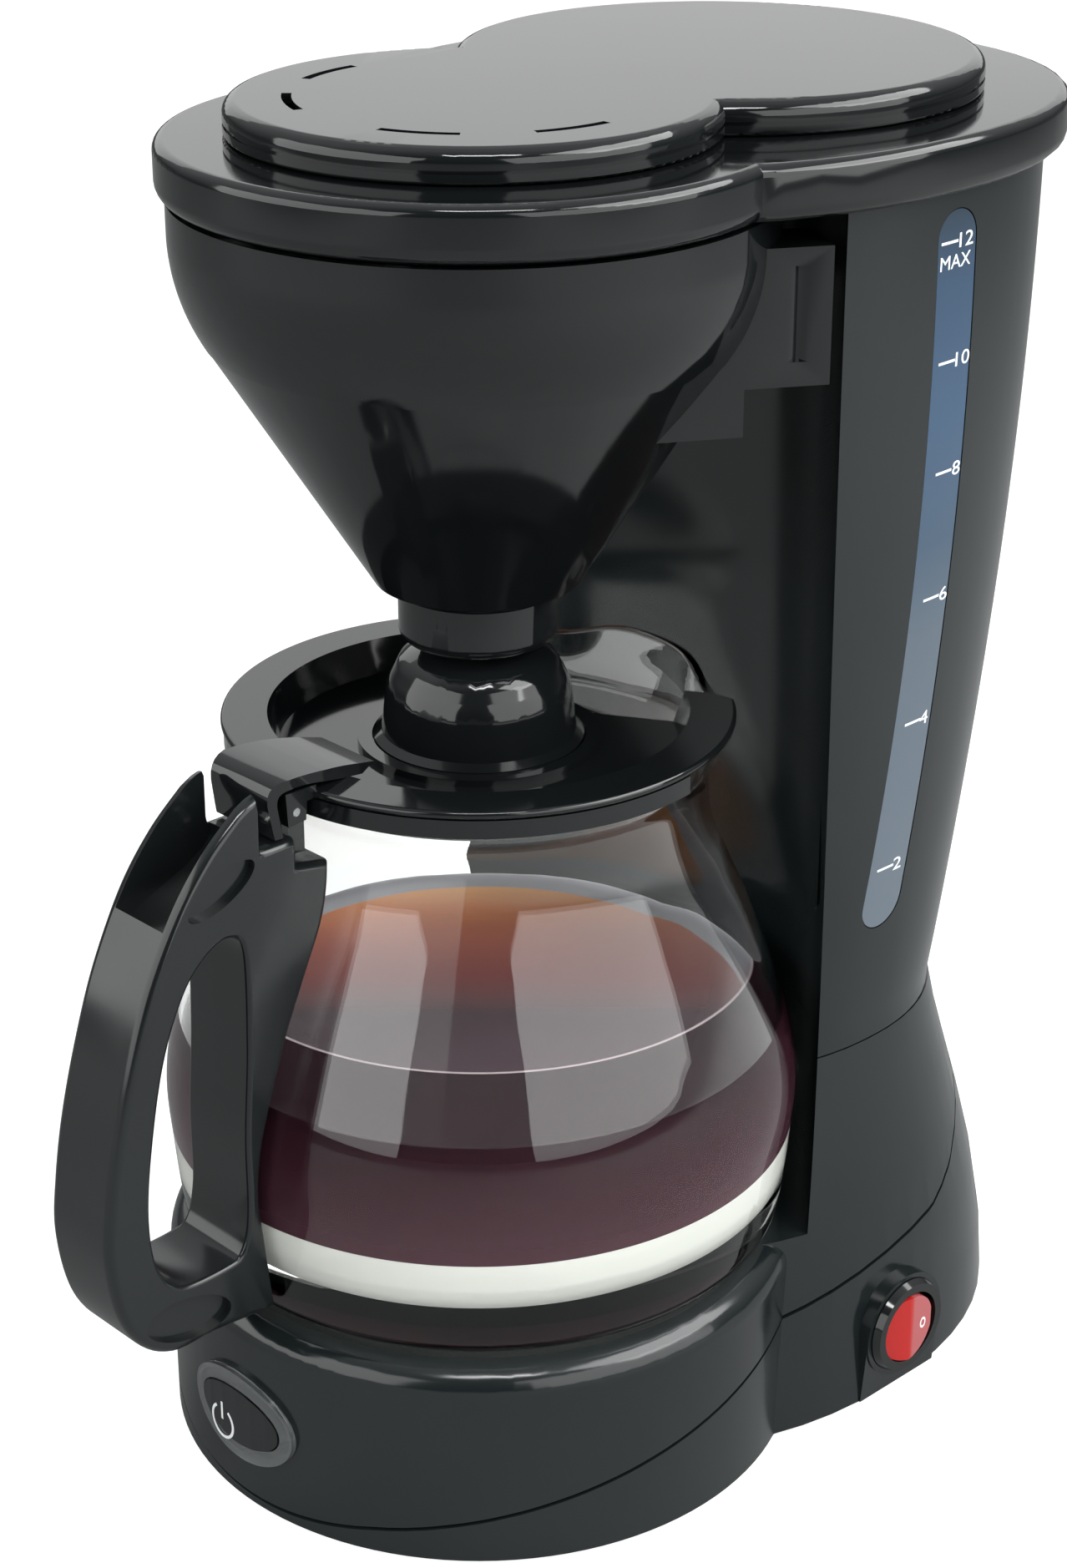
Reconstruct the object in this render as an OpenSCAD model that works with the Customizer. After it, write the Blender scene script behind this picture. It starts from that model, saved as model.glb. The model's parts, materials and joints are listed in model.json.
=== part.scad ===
// Drip coffee maker with a swing-out filter holder, a level window and a glass carafe.
// Millimetres, +Z up, front towards -Y. The origin is the middle of the footprint on the table.
// Most shapes are laid out around the brewing axis, the common axis of warming plate,
// carafe and filter holder, and are moved into place by at_brew().

/* [Base] */
// Radius of the round front of the base
drum_r = 78; // [77:0.25:79]
// Height of the rim around the warming plate
rim_z = 53.5; // [53:0.25:53.5]
// Height of the seam between base and tower
seam_z = 97; // [95:0.5:99]
// Thickness of the housing walls
wall = 2.5; // [2.2:0.1:2.8]
// Radius of the well that holds the warming plate
well_r = 70.8; // [70.4:0.1:71]
// Width of the parting line between tray and housing
part_gap = 1; // [0.6:0.1:1.2]

/* [Tower] */
// Distance from the brewing axis to the middle of the tower
lobe_y = 70; // [69:0.25:71]
// Exponent of the tower's rounded plan
lobe_n = 2.2; // [2:0.1:2.4]
// Half width of the tower at its waist
waist_a = 63.7; // [63:0.1:64.5]
// Half depth of the tower at its waist
waist_b = 58.1; // [57:0.1:59]
// Growth of the half width up to the deck
flare_a = 10; // [9:0.25:10.5]
// Growth of the half depth up to the deck
flare_b = 23; // [22:0.25:23.5]
// Radius of the hollow that the carafe and the filter holder stand in
recess_r = 82; // [81.5:0.25:82.5]
// Height of the tank floor
tank_z = 118; // [116:0.5:120]

/* [Deck and lid] */
// Height of the deck's top face
deck_z = 320.5; // [320.5:0.1:321]
// Radius of the deck over the filter holder
deck_r = 69.1; // [68.8:0.1:69.5]
// Radius of the lid over the filter holder
lid_r = 54; // [53:0.25:55]
// Height of the lid's flat top
lid_top = 328.3; // [328:0.1:329]
// Length of each steam slot in degrees
slot_deg = 25; // [20:1:28]

/* [Filter holder] */
// Radius of the holder's straight rim
bowl_r = 67; // [66.5:0.1:67]
// Height of the holder's rim
bowl_z = 307.3; // [307:0.1:307.4]
// Radius of the outlet nozzle
nozzle_r = 18.4; // [18:0.1:19]
// Number of ribs inside the filter basket
rib_count = 24; // [12:2:32]
// Height of each basket rib over the wall
rib_h = 1.3; // [0.8:0.1:1.6]

/* [Carafe] */
// Wall thickness of the glass
glass_t = 2.2; // [1.8:0.1:2.6]
// Radius of the carafe lid
cap_r = 60; // [59.5:0.1:60.5]
// Width of the handle
grip_w = 22; // [20:0.5:24]

/* [Hidden] */
$fn = 96;
handle_reach = 120.5;
deck_rear = 157;
brew_y = (handle_reach - deck_rear) / 2;
ring_n = 60;
tower_top = 317.2;
hinge_x = -60;
hinge_y = 45;
lid_hinge_y = 140.5;
lid_hinge_z = 322.4;
plate_z = 54;
pipe_x = 42;
pipe_y = 88;
heat_r = 42;
water_z = 37;
tab_n = [0.858, -0.514];
tab_d = 38.7;
sw_y = 72.8;
sw_z = 19.5;
button_z = 25.9;

// Parting line of the base: its height at each distance behind the brewing axis.
function ramp(t) = let (c = max(0, min(1, t))) c * c * (3 - 2 * c);
function part_line(y) = 3 + 40 * pow(max(0, (y + 78.5) / 165), 0.75) + 22 * ramp((y - 90) / 45);

// Plan of the tower: a superellipse, its half axes growing with height.
function spow(v, e) = sign(v) * pow(abs(v), e);
function lobe(a, b) = [for (i = [0:ring_n - 1])
    let (t = 360 * i / ring_n)
    [a * spow(cos(t), 2 / lobe_n), lobe_y + b * spow(sin(t), 2 / lobe_n)]];
function tower_k(z) = sin(90 * pow(max(0, min(1, (z - 101) / 208)), 0.93));
function tower_a(z) = waist_a + flare_a * tower_k(z);
function tower_b(z) = waist_b + flare_b * tower_k(z);
function foot_k(z) = sin(90 * pow(max(0, (seam_z - z) / seam_z), 1.15));
function foot_a(z) = waist_a + 0.2 + 12.7 * foot_k(z);
function foot_b(z) = waist_b + 0.7 + 25.5 * foot_k(z);

// Points along a smooth curve through hand-set control points.
function knot(p, i) = p[max(0, min(len(p) - 1, i))];
function curve(p, k) = concat([for (i = [0:len(p) - 2]) for (s = [0:k - 1])
    let (t = s / k, a = knot(p, i - 1), b = p[i], c = p[i + 1], d = knot(p, i + 2))
    0.5 * (2 * b + (c - a) * t + (2 * a - 5 * b + 4 * c - d) * t * t
        + (3 * b - a - 3 * c + d) * t * t * t)], [p[len(p) - 1]]);

// Closed outline moved inwards by d, for one that runs anticlockwise.
function unit2(v) = v / max(0.001, norm(v));
function inset(p, d) = [for (i = [0:len(p) - 1])
    let (n = len(p), e = unit2(p[(i + 1) % n] - p[(i + n - 1) % n]))
    p[i] + d * [-e.y, e.x]];

// Skin over a stack of rings with the same number of points.
module loft(rings, zs) {
    n = len(rings[0]);
    m = len(rings);
    pts = [for (i = [0:m - 1]) for (p = rings[i]) [p.x, p.y, zs[i]]];
    sides = [for (i = [0:m - 2]) for (j = [0:n - 1])
        let (a = i * n + j, b = i * n + (j + 1) % n)
        each [[a, a + n, b + n], [a, b + n, b]]];
    low = [for (j = [0:n - 1]) j];
    high = [for (j = [n - 1:-1:0]) (m - 1) * n + j];
    polyhedron(concat(pts), concat([low], sides, [high]));
}

function heights(list, z0, z1) = concat([z0], [for (z = list) if (z > z0 + 1 && z < z1 - 1) z], [z1]);
module tower_solid(d, z0, z1) {
    zs = heights([101, 125, 160, 200, 245, 285, 309], z0, z1);
    loft([for (z = zs) lobe(tower_a(z) - d, tower_b(z) - d)], zs);
}
// The same skin, but only the strip of it round the middle of the right side.
module tower_strip(d, z0, z1) {
    zs = heights([125, 160, 200, 245, 285], z0, z1);
    pick = [for (i = [-4:5]) (i + ring_n) % ring_n];
    loft([for (z = zs) let (p = lobe(tower_a(z) - d, tower_b(z) - d))
        concat([for (i = pick) p[i]], [[40, 110], [40, 40]])], zs);
}
module foot_solid(d, z0, z1) {
    zs = heights([4, 20, 40, 58, 75, 88, 97], z0, z1);
    loft([for (z = zs) lobe(foot_a(z) - d, foot_b(z) - d)], zs);
}

module at_brew() {
    translate([0, brew_y, 0])
        children();
}
// Extrudes a (y, z) outline across the width.
module across(w) {
    rotate([90, 0, 90])
        linear_extrude(w, center = true)
            children();
}
module disc(r, z0, z1) {
    translate([0, 0, z0])
        cylinder(r = r, h = z1 - z0);
}
module ring(r0, r1, z0, z1) {
    difference() {
        disc(r1, z0, z1);
        disc(r0, z0 - 1, z1 + 1);
    }
}
module both_sides() {
    for (s = [-1, 1])
        scale([s, 1, 1])
            children();
}
module below_parting(dz) {
    ys = [for (i = [0:24]) -79 + i * 10];
    across(240)
        polygon(concat([[-130, -40]], [[-130, 3 + dz]], [for (y = ys) [y, part_line(y) + dz]], [[170, -40]]));
}

// ---------------------------------------------------------------- base

// Rim roll and side of the round front part, grown inwards by d.
module drum_solid(d, z0, z1) {
    disc(drum_r - d, z0, z1);
}
module drum_rim() {
    rotate_extrude()
        union() {
            translate([0, 1.5])
                square([drum_r, rim_z - 8]);
            translate([0, 1.5])
                square([drum_r - 6.5, rim_z - 1.5]);
            translate([drum_r - 6.5, rim_z - 6.5])
                circle(r = 6.5);
        }
}
module front_boss(r, z0, z1) {
    both_sides()
        translate([58, -20, z0])
            cylinder(r = r, h = z1 - z0);
}
module rear_boss(r, z0, z1) {
    both_sides()
        translate([48, 112, z0])
            cylinder(r = r, h = z1 - z0);
}
// Ribs that tie each rear boss to the side wall.
module rear_ribs(z0, z1) {
    both_sides()
        translate([48, 112, z0])
            rotate([0, 0, 40])
                translate([0, -1, 0])
                    cube([34, 2, z1 - z0]);
}
module button_oval(a, b, y0, y1) {
    translate([0, y1, button_z])
        rotate([90, 0, 0])
            scale([a, b, 1])
                cylinder(r = 1, h = y1 - y0);
}

module base_housing() {
    color("#33393b")
    at_brew()
    difference() {
        union() {
            drum_rim();
            difference() {
                foot_solid(0, 1.5, seam_z - 0.15);
                disc(recess_r, rim_z, 120);
            }
            // locating lip that the tower slips over
            difference() {
                foot_solid(wall - 0.1, seam_z - 7, seam_z - 0.15);
                foot_solid(wall + 2.7, seam_z - 8, seam_z + 1);
                disc(recess_r + wall, 0, 120);
            }
            difference() {
                foot_solid(wall + 1.2, seam_z - 7, seam_z + 4);
                foot_solid(wall + 2.7, seam_z - 8, seam_z + 5);
                disc(recess_r + wall + 0.4, 0, 120);
            }
        }
        // hollow
        difference() {
            union() {
                disc(drum_r - wall, -1, 47);
                ring(well_r + 2.4, drum_r - wall, 46, rim_z - 3.2);
                difference() {
                    foot_solid(wall, 0, seam_z - 7);
                    disc(drum_r + 0.5, 47, 120);
                    disc(recess_r + wall, rim_z - wall, 120);
                }
                difference() {
                    foot_solid(wall + 2.7, seam_z - 8, seam_z + 5);
                    disc(recess_r + wall, 0, 120);
                }
            }
            front_boss(4.5, 9.3, 50);
            rear_boss(4.5, 62, 97);
            rear_ribs(67, 97);
        }
        // well of the warming plate, with its ledge
        disc(well_r, 49.5, 60);
        disc(62, 40, 60);
        // everything under the parting line belongs to the tray
        below_parting(part_gap / 2);
        front_boss(1.5, 0, 30);
        rear_boss(1.5, 50, 82);
        button_oval(17, 10.5, -90, -70);
    }
}

module tray_skin(d, top) {
    drum_solid(d, 1.5, 60);
    foot_solid(d, 1.5, top);
}
module base_tray() {
    color("#33393b")
    at_brew()
    difference() {
        union() {
            intersection() {
                tray_skin(0, 72);
                below_parting(-part_gap / 2);
            }
            intersection() {
                tray_skin(wall + 0.4, 78);
                below_parting(4);
            }
            // raised land around the rocker switch
            difference() {
                intersection() {
                    union() {
                        translate([60, sw_y, sw_z])
                            rotate([0, 90, 0])
                                cylinder(r = 14, h = 18.2);
                        translate([0, sw_y + 14, 0])
                            rotate([90, 0, 0])
                                linear_extrude(28)
                                    polygon([[60, 1.5], [76.6, 1.5], [78.2, sw_z], [60, sw_z]]);
                    }
                    disc(200, 1.5, 36);
                }
                disc(drum_r - 3, 0, 60);
                foot_solid(2, 0, 80);
            }
        }
        difference() {
            union() {
                disc(drum_r - wall - 1.7, 4, 80);
                foot_solid(wall + 1.7, 4, 80);
                intersection() {
                    union() {
                        disc(drum_r - wall, 4, 60);
                        foot_solid(wall, 4, 80);
                    }
                    below_parting(-6);
                }
            }
            front_boss(6, 0, 9);
            rear_boss(5.2, 0, 61.7);
            rear_ribs(4, 50);
            foot_wells(10, 0, 5);
            board_posts();
        }
        // wells and holes of the fixing screws
        front_boss(3.6, 0, 6.5);
        front_boss(1.8, 0, 20);
        rear_boss(3.6, 0, 53);
        rear_boss(1.8, 0, 70);
        // room for the bosses of the housing
        rear_boss(4.9, 61.7, 90);
        foot_wells(7.3, 0, 3);
        foot_wells(2.35, 0, 10);
        // switch and cord inlet
        translate([60, sw_y, sw_z])
            rotate([0, 90, 0])
                cylinder(r = 11.7, h = 30);
        translate([0, 140, 14])
            rotate([-90, 0, 0])
                cylinder(r = 5.3, h = 30);
        // air slots in the floor
        for (i = [-3:3])
            translate([i * 7 - 1.25, 18, -1])
                cube([2.5, 34, 10]);
    }
}
module foot_wells(r, z0, z1) {
    for (p = [[38, -56], [67, 57], [42, 132]])
        both_sides()
            translate([p.x, p.y, z0])
                cylinder(r = r, h = z1 - z0);
}
module board_posts() {
    both_sides()
        difference() {
            translate([19.5, -65, 0])
                cube([4, 6, 37]);
            translate([0, -62.8, 12.8])
                cube([22.3, 2.2, 60]);
        }
}
module rubber_feet() {
    color("#1d1f20")
    at_brew() {
        foot_wells(7, 0, 2.7);
        foot_wells(2.2, 2, 6.6);
        for (p = [[38, -56], [67, 57], [42, 132]])
            both_sides()
                translate([p.x, p.y, 5.06])
                    cylinder(r1 = 3.4, r2 = 2.2, h = 2);
    }
}
module pan_screw(z, length) {
    translate([0, 0, z - 2.4])
        cylinder(r = 3.3, h = 2.4);
    translate([0, 0, z - 0.5])
        cylinder(r = 1.45, h = length + 0.5);
}
module base_screws() {
    color("silver")
    at_brew()
    both_sides() {
        translate([58, -20, 0])
            pan_screw(6.4, 16);
        translate([48, 112, 0])
            pan_screw(52.9, 22);
    }
}

// ---------------------------------------------------------------- heating

module warming_plate() {
    color("#2a2c2d")
    at_brew() {
        rotate_extrude()
            union() {
                translate([0, plate_z - 1.2])
                    square([64.5, 1.2]);
                polygon([[63.6, plate_z - 1.2], [64.5, plate_z], [68.2, 51.8], [68.2, 50.6], [67.2, 50.6]]);
                translate([67.2, 50.6])
                    square([2.2, 1.2]);
                translate([69.4, 51.2])
                    circle(r = 0.6);
            }
        disc(2, 24, plate_z - 0.6);
    }
}
module plate_seal() {
    color("#1d1f20")
    at_brew()
    rotate_extrude()
        difference() {
            translate([65, 49.5])
                square([5.6, 1]);
            translate([70.6, 50.9])
                circle(r = 0.6);
        }
}
// Half ring with two straight legs, laid at height z.
module u_pipe(r, z, leg) {
    translate([0, 0, z]) {
        rotate([0, 0, 180])
            rotate_extrude(angle = 180)
                translate([heat_r, 0])
                    circle(r = r);
        both_sides()
            translate([heat_r, 0, 0])
                rotate([-90, 0, 0])
                    cylinder(r = r, h = leg);
    }
}
module heating_element() {
    color("#b9bcbd")
    at_brew()
    difference() {
        union() {
            u_pipe(5, 47.3, 12);
            u_pipe(5.5, water_z, 25);
            rotate([0, 0, 180])
                rotate_extrude(angle = 180)
                    translate([heat_r - 3, water_z])
                        square([6, 10]);
            both_sides()
                translate([heat_r - 3, 0, water_z])
                    cube([6, 12, 10]);
            both_sides()
                translate([heat_r, 11, 47.3])
                    rotate([-90, 0, 0])
                        cylinder(r = 1.6, h = 6);
        }
        u_pipe(4, water_z, 40);
    }
}
module element_bracket() {
    color("#a8abad")
    at_brew()
    difference() {
        union() {
            translate([-50, -7, 29.6])
                cube([100, 14, 1.5]);
            translate([-7, -52, 29.6])
                cube([14, 50, 1.5]);
            both_sides()
                translate([48.5, -7, 29.6])
                    cube([1.5, 14, 8]);
        }
        disc(2.2, 20, 40);
        translate([0, -heat_r, 20])
            cylinder(r = 4.3, h = 20);
    }
}
module bracket_nut() {
    color("silver")
    at_brew()
    difference() {
        translate([0, 0, 26.1])
            cylinder(r = 4.04, h = 3.2, $fn = 6);
        disc(2.05, 20, 40);
    }
}
module thermostat() {
    color("#d8d4c8")
    at_brew()
    translate([0, -heat_r, 0]) {
        disc(8, 21, 29.3);
        disc(4, 29, 31.2);
        both_sides()
            translate([3.5, -3, 12])
                cube([0.8, 6.3, 10]);
    }
}
// Hose from a pipe end at (pipe_x, 14) back and up to z = 108.
module hose(side) {
    scale([side, 1, 1])
        translate([pipe_x, 0, 0])
            difference() {
                union() {
                    translate([0, 15, water_z])
                        rotate([-90, 0, 0])
                            cylinder(r = 7.4, h = pipe_y - 33);
                    hose_bend(7.4);
                    translate([0, pipe_y, water_z + 18])
                        cylinder(r = 7.4, h = 58);
                }
                translate([0, 14, water_z])
                    rotate([-90, 0, 0])
                        cylinder(r = 5.55, h = pipe_y - 32);
                hose_bend(5.55);
                translate([0, pipe_y, water_z + 18])
                    cylinder(r = 5.55, h = 59);
            }
}
module hose_bend(r) {
    translate([0, pipe_y - 18, water_z + 18])
        rotate([0, 90, 0])
            rotate_extrude(angle = 90)
                translate([18, 0])
                    circle(r = r);
}
module cold_hose() {
    color("#cfd2d0")
    at_brew()
    hose(1);
}
module hot_hose() {
    color("#cfd2d0")
    at_brew()
    hose(-1);
}
module check_valve() {
    color("#e6e4da")
    at_brew()
    translate([pipe_x, 44, water_z])
        rotate([-90, 0, 0])
            difference() {
                cylinder(r = 5.5, h = 14);
                translate([0, 0, -1])
                    cylinder(r = 2.2, h = 6);
                translate([0, 0, 3])
                    cylinder(r = 4.2, h = 12);
            }
}
module hose_clips() {
    color("silver")
    at_brew()
    both_sides()
    translate([pipe_x, 0, 0]) {
        translate([0, 18, water_z])
            rotate([-90, 0, 0])
                clip();
        translate([0, pipe_y, 104])
            clip();
    }
}
module clip() {
    difference() {
        union() {
            cylinder(r = 8.6, h = 5);
            translate([6, -2.6, 0])
                cube([7, 5.2, 5]);
        }
        translate([0, 0, -1])
            cylinder(r = 7.45, h = 7);
        translate([5, -1.2, -1])
            cube([10, 2.4, 7]);
    }
}

// ---------------------------------------------------------------- tower and tank

// The level window is a band with round ends that follows the tower's waist.
function band_y(z) = 72.4 + 0.0314 * (z - 216) + 3 * (1 - pow((z - 220) / 80, 2));
module window_slot(d, x0, x1) {
    zs = [for (i = [0:9]) 135.7 + i * 161.4 / 9];
    translate([x0, 0, 0])
        rotate([90, 0, 90])
            linear_extrude(x1 - x0)
                union() {
                    for (z = [zs[0], zs[9]])
                        translate([band_y(z), z])
                            circle(r = 6.9 + d);
                    polygon(concat([for (z = zs) [band_y(z) + 6.9 + d, z]],
                        [for (i = [9:-1:0]) [band_y(zs[i]) - 6.9 - d, zs[i]]]));
                }
}
module tower_housing() {
    color("#33393b")
    at_brew()
    difference() {
        union() {
            difference() {
                tower_solid(0, seam_z + 0.15, tower_top);
                difference() {
                    tower_solid(wall, seam_z - 1, tower_top + 1);
                    disc(recess_r + wall, 0, 400);
                    tank_ledge();
                }
                disc(recess_r, 0, 400);
            }
            // lower ear of the holder's hinge
            intersection() {
                hinge_ear(256, 264);
                disc(recess_r + 1, 200, 300);
            }
        }
        translate([hinge_x, hinge_y, 258.2])
            cylinder(r = 2.05, h = 20);
        window_slot(0, 40, 100);
        // notch for the spray arm
        rotate([0, 0, atan2(pipe_y, -pipe_x)])
            translate([70, -7, 305])
                cube([24, 14, 30]);
        // overflow hole at the top of the tank
        translate([30, 120, 300])
            rotate([-90, 0, 0])
                cylinder(r = 4, h = 60);
    }
}
module tank_ledge() {
    difference() {
        disc(300, tank_z - 2.5, tank_z - 0.3);
        difference() {
            tower_solid(wall + 3, tank_z - 4, tank_z + 2);
            disc(recess_r + wall + 3, 0, 400);
        }
    }
}
module hinge_ear(z0, z1) {
    translate([hinge_x, hinge_y, z0]) {
        cylinder(r = 5.5, h = z1 - z0);
        rotate([0, 0, atan2(hinge_y, hinge_x)])
            translate([0, -5.5, 0])
                cube([14, 11, z1 - z0]);
    }
}
module tank_floor() {
    color("#6b7276")
    at_brew()
    difference() {
        union() {
            difference() {
                tower_solid(wall + 0.3, tank_z, tank_z + 2.5);
                disc(recess_r + wall + 0.3, 0, 400);
            }
            translate([pipe_x, pipe_y, 96])
                cylinder(r = 5.5, h = tank_z - 95);
            translate([-pipe_x, pipe_y, tank_z])
                difference() {
                    cylinder(r = 8, h = 8);
                }
        }
        translate([pipe_x, pipe_y, 90])
            cylinder(r = 4, h = 60);
        translate([-pipe_x, pipe_y, 90])
            cylinder(r = 5.53, h = 60);
    }
}
module level_window() {
    color([0.62, 0.72, 0.82, 0.6])
    at_brew()
    difference() {
        union() {
            intersection() {
                tower_strip(0.15, 115, 310);
                window_slot(-0.25, 40, 100);
            }
            intersection() {
                tower_strip(wall + 0.2, 115, 310);
                window_slot(3, 40, 100);
            }
        }
        tower_strip(wall + 1.8, 110, 315);
    }
}
module riser_tube() {
    color("#e6e4da")
    at_brew()
    translate([-pipe_x, pipe_y, 0])
        ring(4, 5.5, 96, 309);
}
module spray_head() {
    color("#26282a")
    at_brew()
    difference() {
        union() {
            disc(22, 310.5, 315.5);
            rotate([0, 0, atan2(pipe_y, -pipe_x)])
                translate([0, -5, 310.5])
                    cube([97.5, 10, 5]);
            translate([-pipe_x, pipe_y, 298])
                cylinder(r = 7.4, h = 17.5);
        }
        disc(20.4, 312, 314);
        rotate([0, 0, atan2(pipe_y, -pipe_x)])
            translate([0, -3.5, 312])
                cube([97.5, 7, 2]);
        translate([-pipe_x, pipe_y, 290])
            cylinder(r = 5.53, h = 24);
        for (i = [0:9])
            rotate([0, 0, i * 36])
                translate([14, 0, 300])
                    cylinder(r = 1.3, h = 12.5);
        disc(1.3, 300, 312.5);
    }
}

// ---------------------------------------------------------------- deck and lid

// Disc with a rounded lower and upper edge.
module soft_disc(r, z0, z1, r0, r1) {
    rotate_extrude()
        union() {
            translate([0, z0 + r0])
                square([r, z1 - z0 - r0 - r1]);
            translate([0, z0])
                square([r - max(r0, r1), z1 - z0]);
            translate([0, z0])
                square([r - r0, z1 - z0 - r1]);
            translate([0, z0 + r0])
                square([r - r1, z1 - z0 - r0]);
            translate([r - r0, z0 + r0])
                circle(r = r0);
            translate([r - r1, z1 - r1])
                circle(r = r1);
        }
}
// Rounded plan of the deck over the tower, with the same two edge radii.
module deck_lobe(d, z0, z1, r0, r1) {
    low = [for (t = [0, 30, 60, 90]) [r0 * (1 - sin(t)), z0 + r0 * (1 - cos(t))]];
    high = [for (t = [90, 60, 30, 0]) [r1 * (1 - sin(t)), z1 - r1 * (1 - cos(t))]];
    prof = concat(low, high);
    loft([for (p = prof) lobe(78 - d - p.x, 87 - d - p.x)], [for (p = prof) p.y]);
}
module lid_plan(r0, r1, z0, z1) {
    disc(r0, z0, z1);
    translate([0, 76, 0])
        disc(r1, z0, z1);
}
module lug(w) {
    rotate([90, 0, 90])
        linear_extrude(w)
            union() {
                translate([lid_hinge_y, lid_hinge_z])
                    circle(r = 2.9);
                translate([lid_hinge_y - 2.9, deck_z - 1.2])
                    square([5.8, lid_hinge_z - deck_z + 1.2]);
            }
}
module top_deck() {
    color("#1b1d1e")
    at_brew()
    difference() {
        union() {
            soft_disc(deck_r, 307.8, deck_z, 4, 2.5);
            deck_lobe(0, 307.8, deck_z, 4, 2.5);
            both_sides()
                translate([9.4, 0, 0])
                    lug(4);
        }
        difference() {
            union() {
                disc(deck_r - 3, 300, 317.5);
                loft([lobe(75, 84), lobe(75, 84)], [300, 317.5]);
            }
            translate([hinge_x, hinge_y, 306.4])
                cylinder(r = 5, h = 20);
        }
        disc(48.5, 300, 340);
        // trough that the lid's hinge barrel turns in
        translate([-9.3, lid_hinge_y - 4.5, deck_z - 1.4])
            cube([18.6, 9, 10]);
        intersection() {
            translate([0, 80, 300])
                cylinder(r = 52, h = 40);
            translate([-60, 60, 300])
                cube([120, 90, 40]);
        }
        translate([hinge_x, hinge_y, 300])
            cylinder(r = 2.05, h = 16.3);
        translate([0, lid_hinge_y, lid_hinge_z])
            rotate([0, 90, 0])
                cylinder(r = 1.25, h = 60, center = true);
    }
}
module lid() {
    color("#1b1d1e")
    at_brew()
    difference() {
        union() {
            difference() {
                union() {
                    soft_disc(lid_r, deck_z + 0.3, lid_top, 0.8, 3.2);
                    translate([0, 76, 0])
                        soft_disc(61, deck_z + 0.3, lid_top, 0.8, 3.2);
                }
                lid_plan(lid_r - 2.4, 61 - 2.4, 310, lid_top - 2.2);
                // shadow line round the edge
                difference() {
                    disc(300, deck_z + 2.6, deck_z + 3.4);
                    lid_plan(lid_r - 0.8, 61 - 0.8, 310, 340);
                }
            }
            ring(44, 46, 316.8, lid_top - 1);
            // hinge barrel and the two arms that carry it
            translate([-9, lid_hinge_y, lid_hinge_z])
                rotate([0, 90, 0])
                    cylinder(r = 2.6, h = 18);
            both_sides()
                translate([3, 133, deck_z + 0.9])
                    cube([6, 7.5, 3.4]);
        }
        for (a = [-78.2, -31.1, 31.1, 78.2])
            rotate([0, 0, -90 + a - slot_deg / 2])
                rotate_extrude(angle = slot_deg)
                    translate([39, 320])
                        square([2.2, 20]);
        translate([0, lid_hinge_y, lid_hinge_z])
            rotate([0, 90, 0])
                cylinder(r = 1.25, h = 60, center = true);
    }
}
module lid_hinge_pin() {
    color("silver")
    at_brew()
    translate([0, lid_hinge_y, lid_hinge_z])
        rotate([0, 90, 0])
            cylinder(r = 1.2, h = 27.6, center = true);
}

// ---------------------------------------------------------------- filter holder

// Half profile of the funnel, its skin moved inwards by d.
module funnel_profile(d, floor) {
    k = d * 1.17;
    union() {
        translate([0, 300])
            square([bowl_r - d, bowl_z - 300]);
        intersection() {
            translate([bowl_r - 45.2, 300])
                circle(r = 45.2 - d);
            translate([0, 276.1])
                square([80, 24]);
        }
        polygon([[0, 218.8], [23.8 - k, 218.8], [60.1 - k, 276.3], [50, 290], [50, 300.5], [0, 300.5]]);
        polygon([[0, 216], [nozzle_r - d, 216], [nozzle_r - d + 1, 217.2], [23.8 - k, 219], [0, 219]]);
        translate([0, floor])
            square([nozzle_r - d, 216.5 - floor]);
    }
}
module tab_box(s0, s1, d0, d1, z0, z1) {
    rotate([0, 0, atan2(tab_n.y, tab_n.x)])
        translate([tab_d - d1, s0, z0])
            cube([d1 - d0, s1 - s0, z1 - z0]);
}
module filter_holder() {
    color("#1b1d1e")
    at_brew()
    difference() {
        union() {
            rotate_extrude()
                union() {
                    difference() {
                        funnel_profile(0, 204);
                        translate([nozzle_r - 3, 203])
                            square([10, 4]);
                    }
                    translate([nozzle_r - 3, 207])
                        circle(r = 3);
                }
            // grip: a hollow box whose face is a flat plane beside the tower
            difference() {
                tab_box(30, 69.6, 0, 16, 270.6, 301);
                tab_box(20, 67.1, 2.5, 20, 272.8, 298.8);
            }
            tab_box(56.5, 67.5, 2, 4.4, 272, 299);
            tab_box(30, 50.6, 0, 2.5, 260, 271);
            // hinge barrel and web
            translate([hinge_x, hinge_y, 264.4])
                cylinder(r = 4, h = 41.6);
            rotate([0, 0, atan2(hinge_y, hinge_x)])
                translate([48, -2.2, 266])
                    cube([25, 4.4, 38]);
        }
        difference() {
            rotate_extrude()
                funnel_profile(2.2, 206.5);
            // ledge that the basket hangs on, and the bar over the drip-stop spring
            ring(61.8, 66, 300.5, 302.7);
            translate([-26, -2.5, 221.5])
                cube([52, 5, 2]);
        }
        disc(bowl_r - 2.2, 306, 320);
        disc(5.3, 200, 210);
        // thumb groove
        rotate([0, 0, atan2(tab_n.y, tab_n.x)])
            translate([tab_d, 62.2, 276])
                linear_extrude(21)
                    polygon([[-1.7, 0], [0.6, -2.25 - 0.8], [0.6, 2.25 + 0.8]]);
        translate([hinge_x, hinge_y, 250])
            cylinder(r = 2.05, h = 70);
    }
}
module holder_hinge_pin() {
    color("silver")
    at_brew()
    translate([hinge_x, hinge_y, 258.5])
        cylinder(r = 2, h = 57.5);
}
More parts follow.
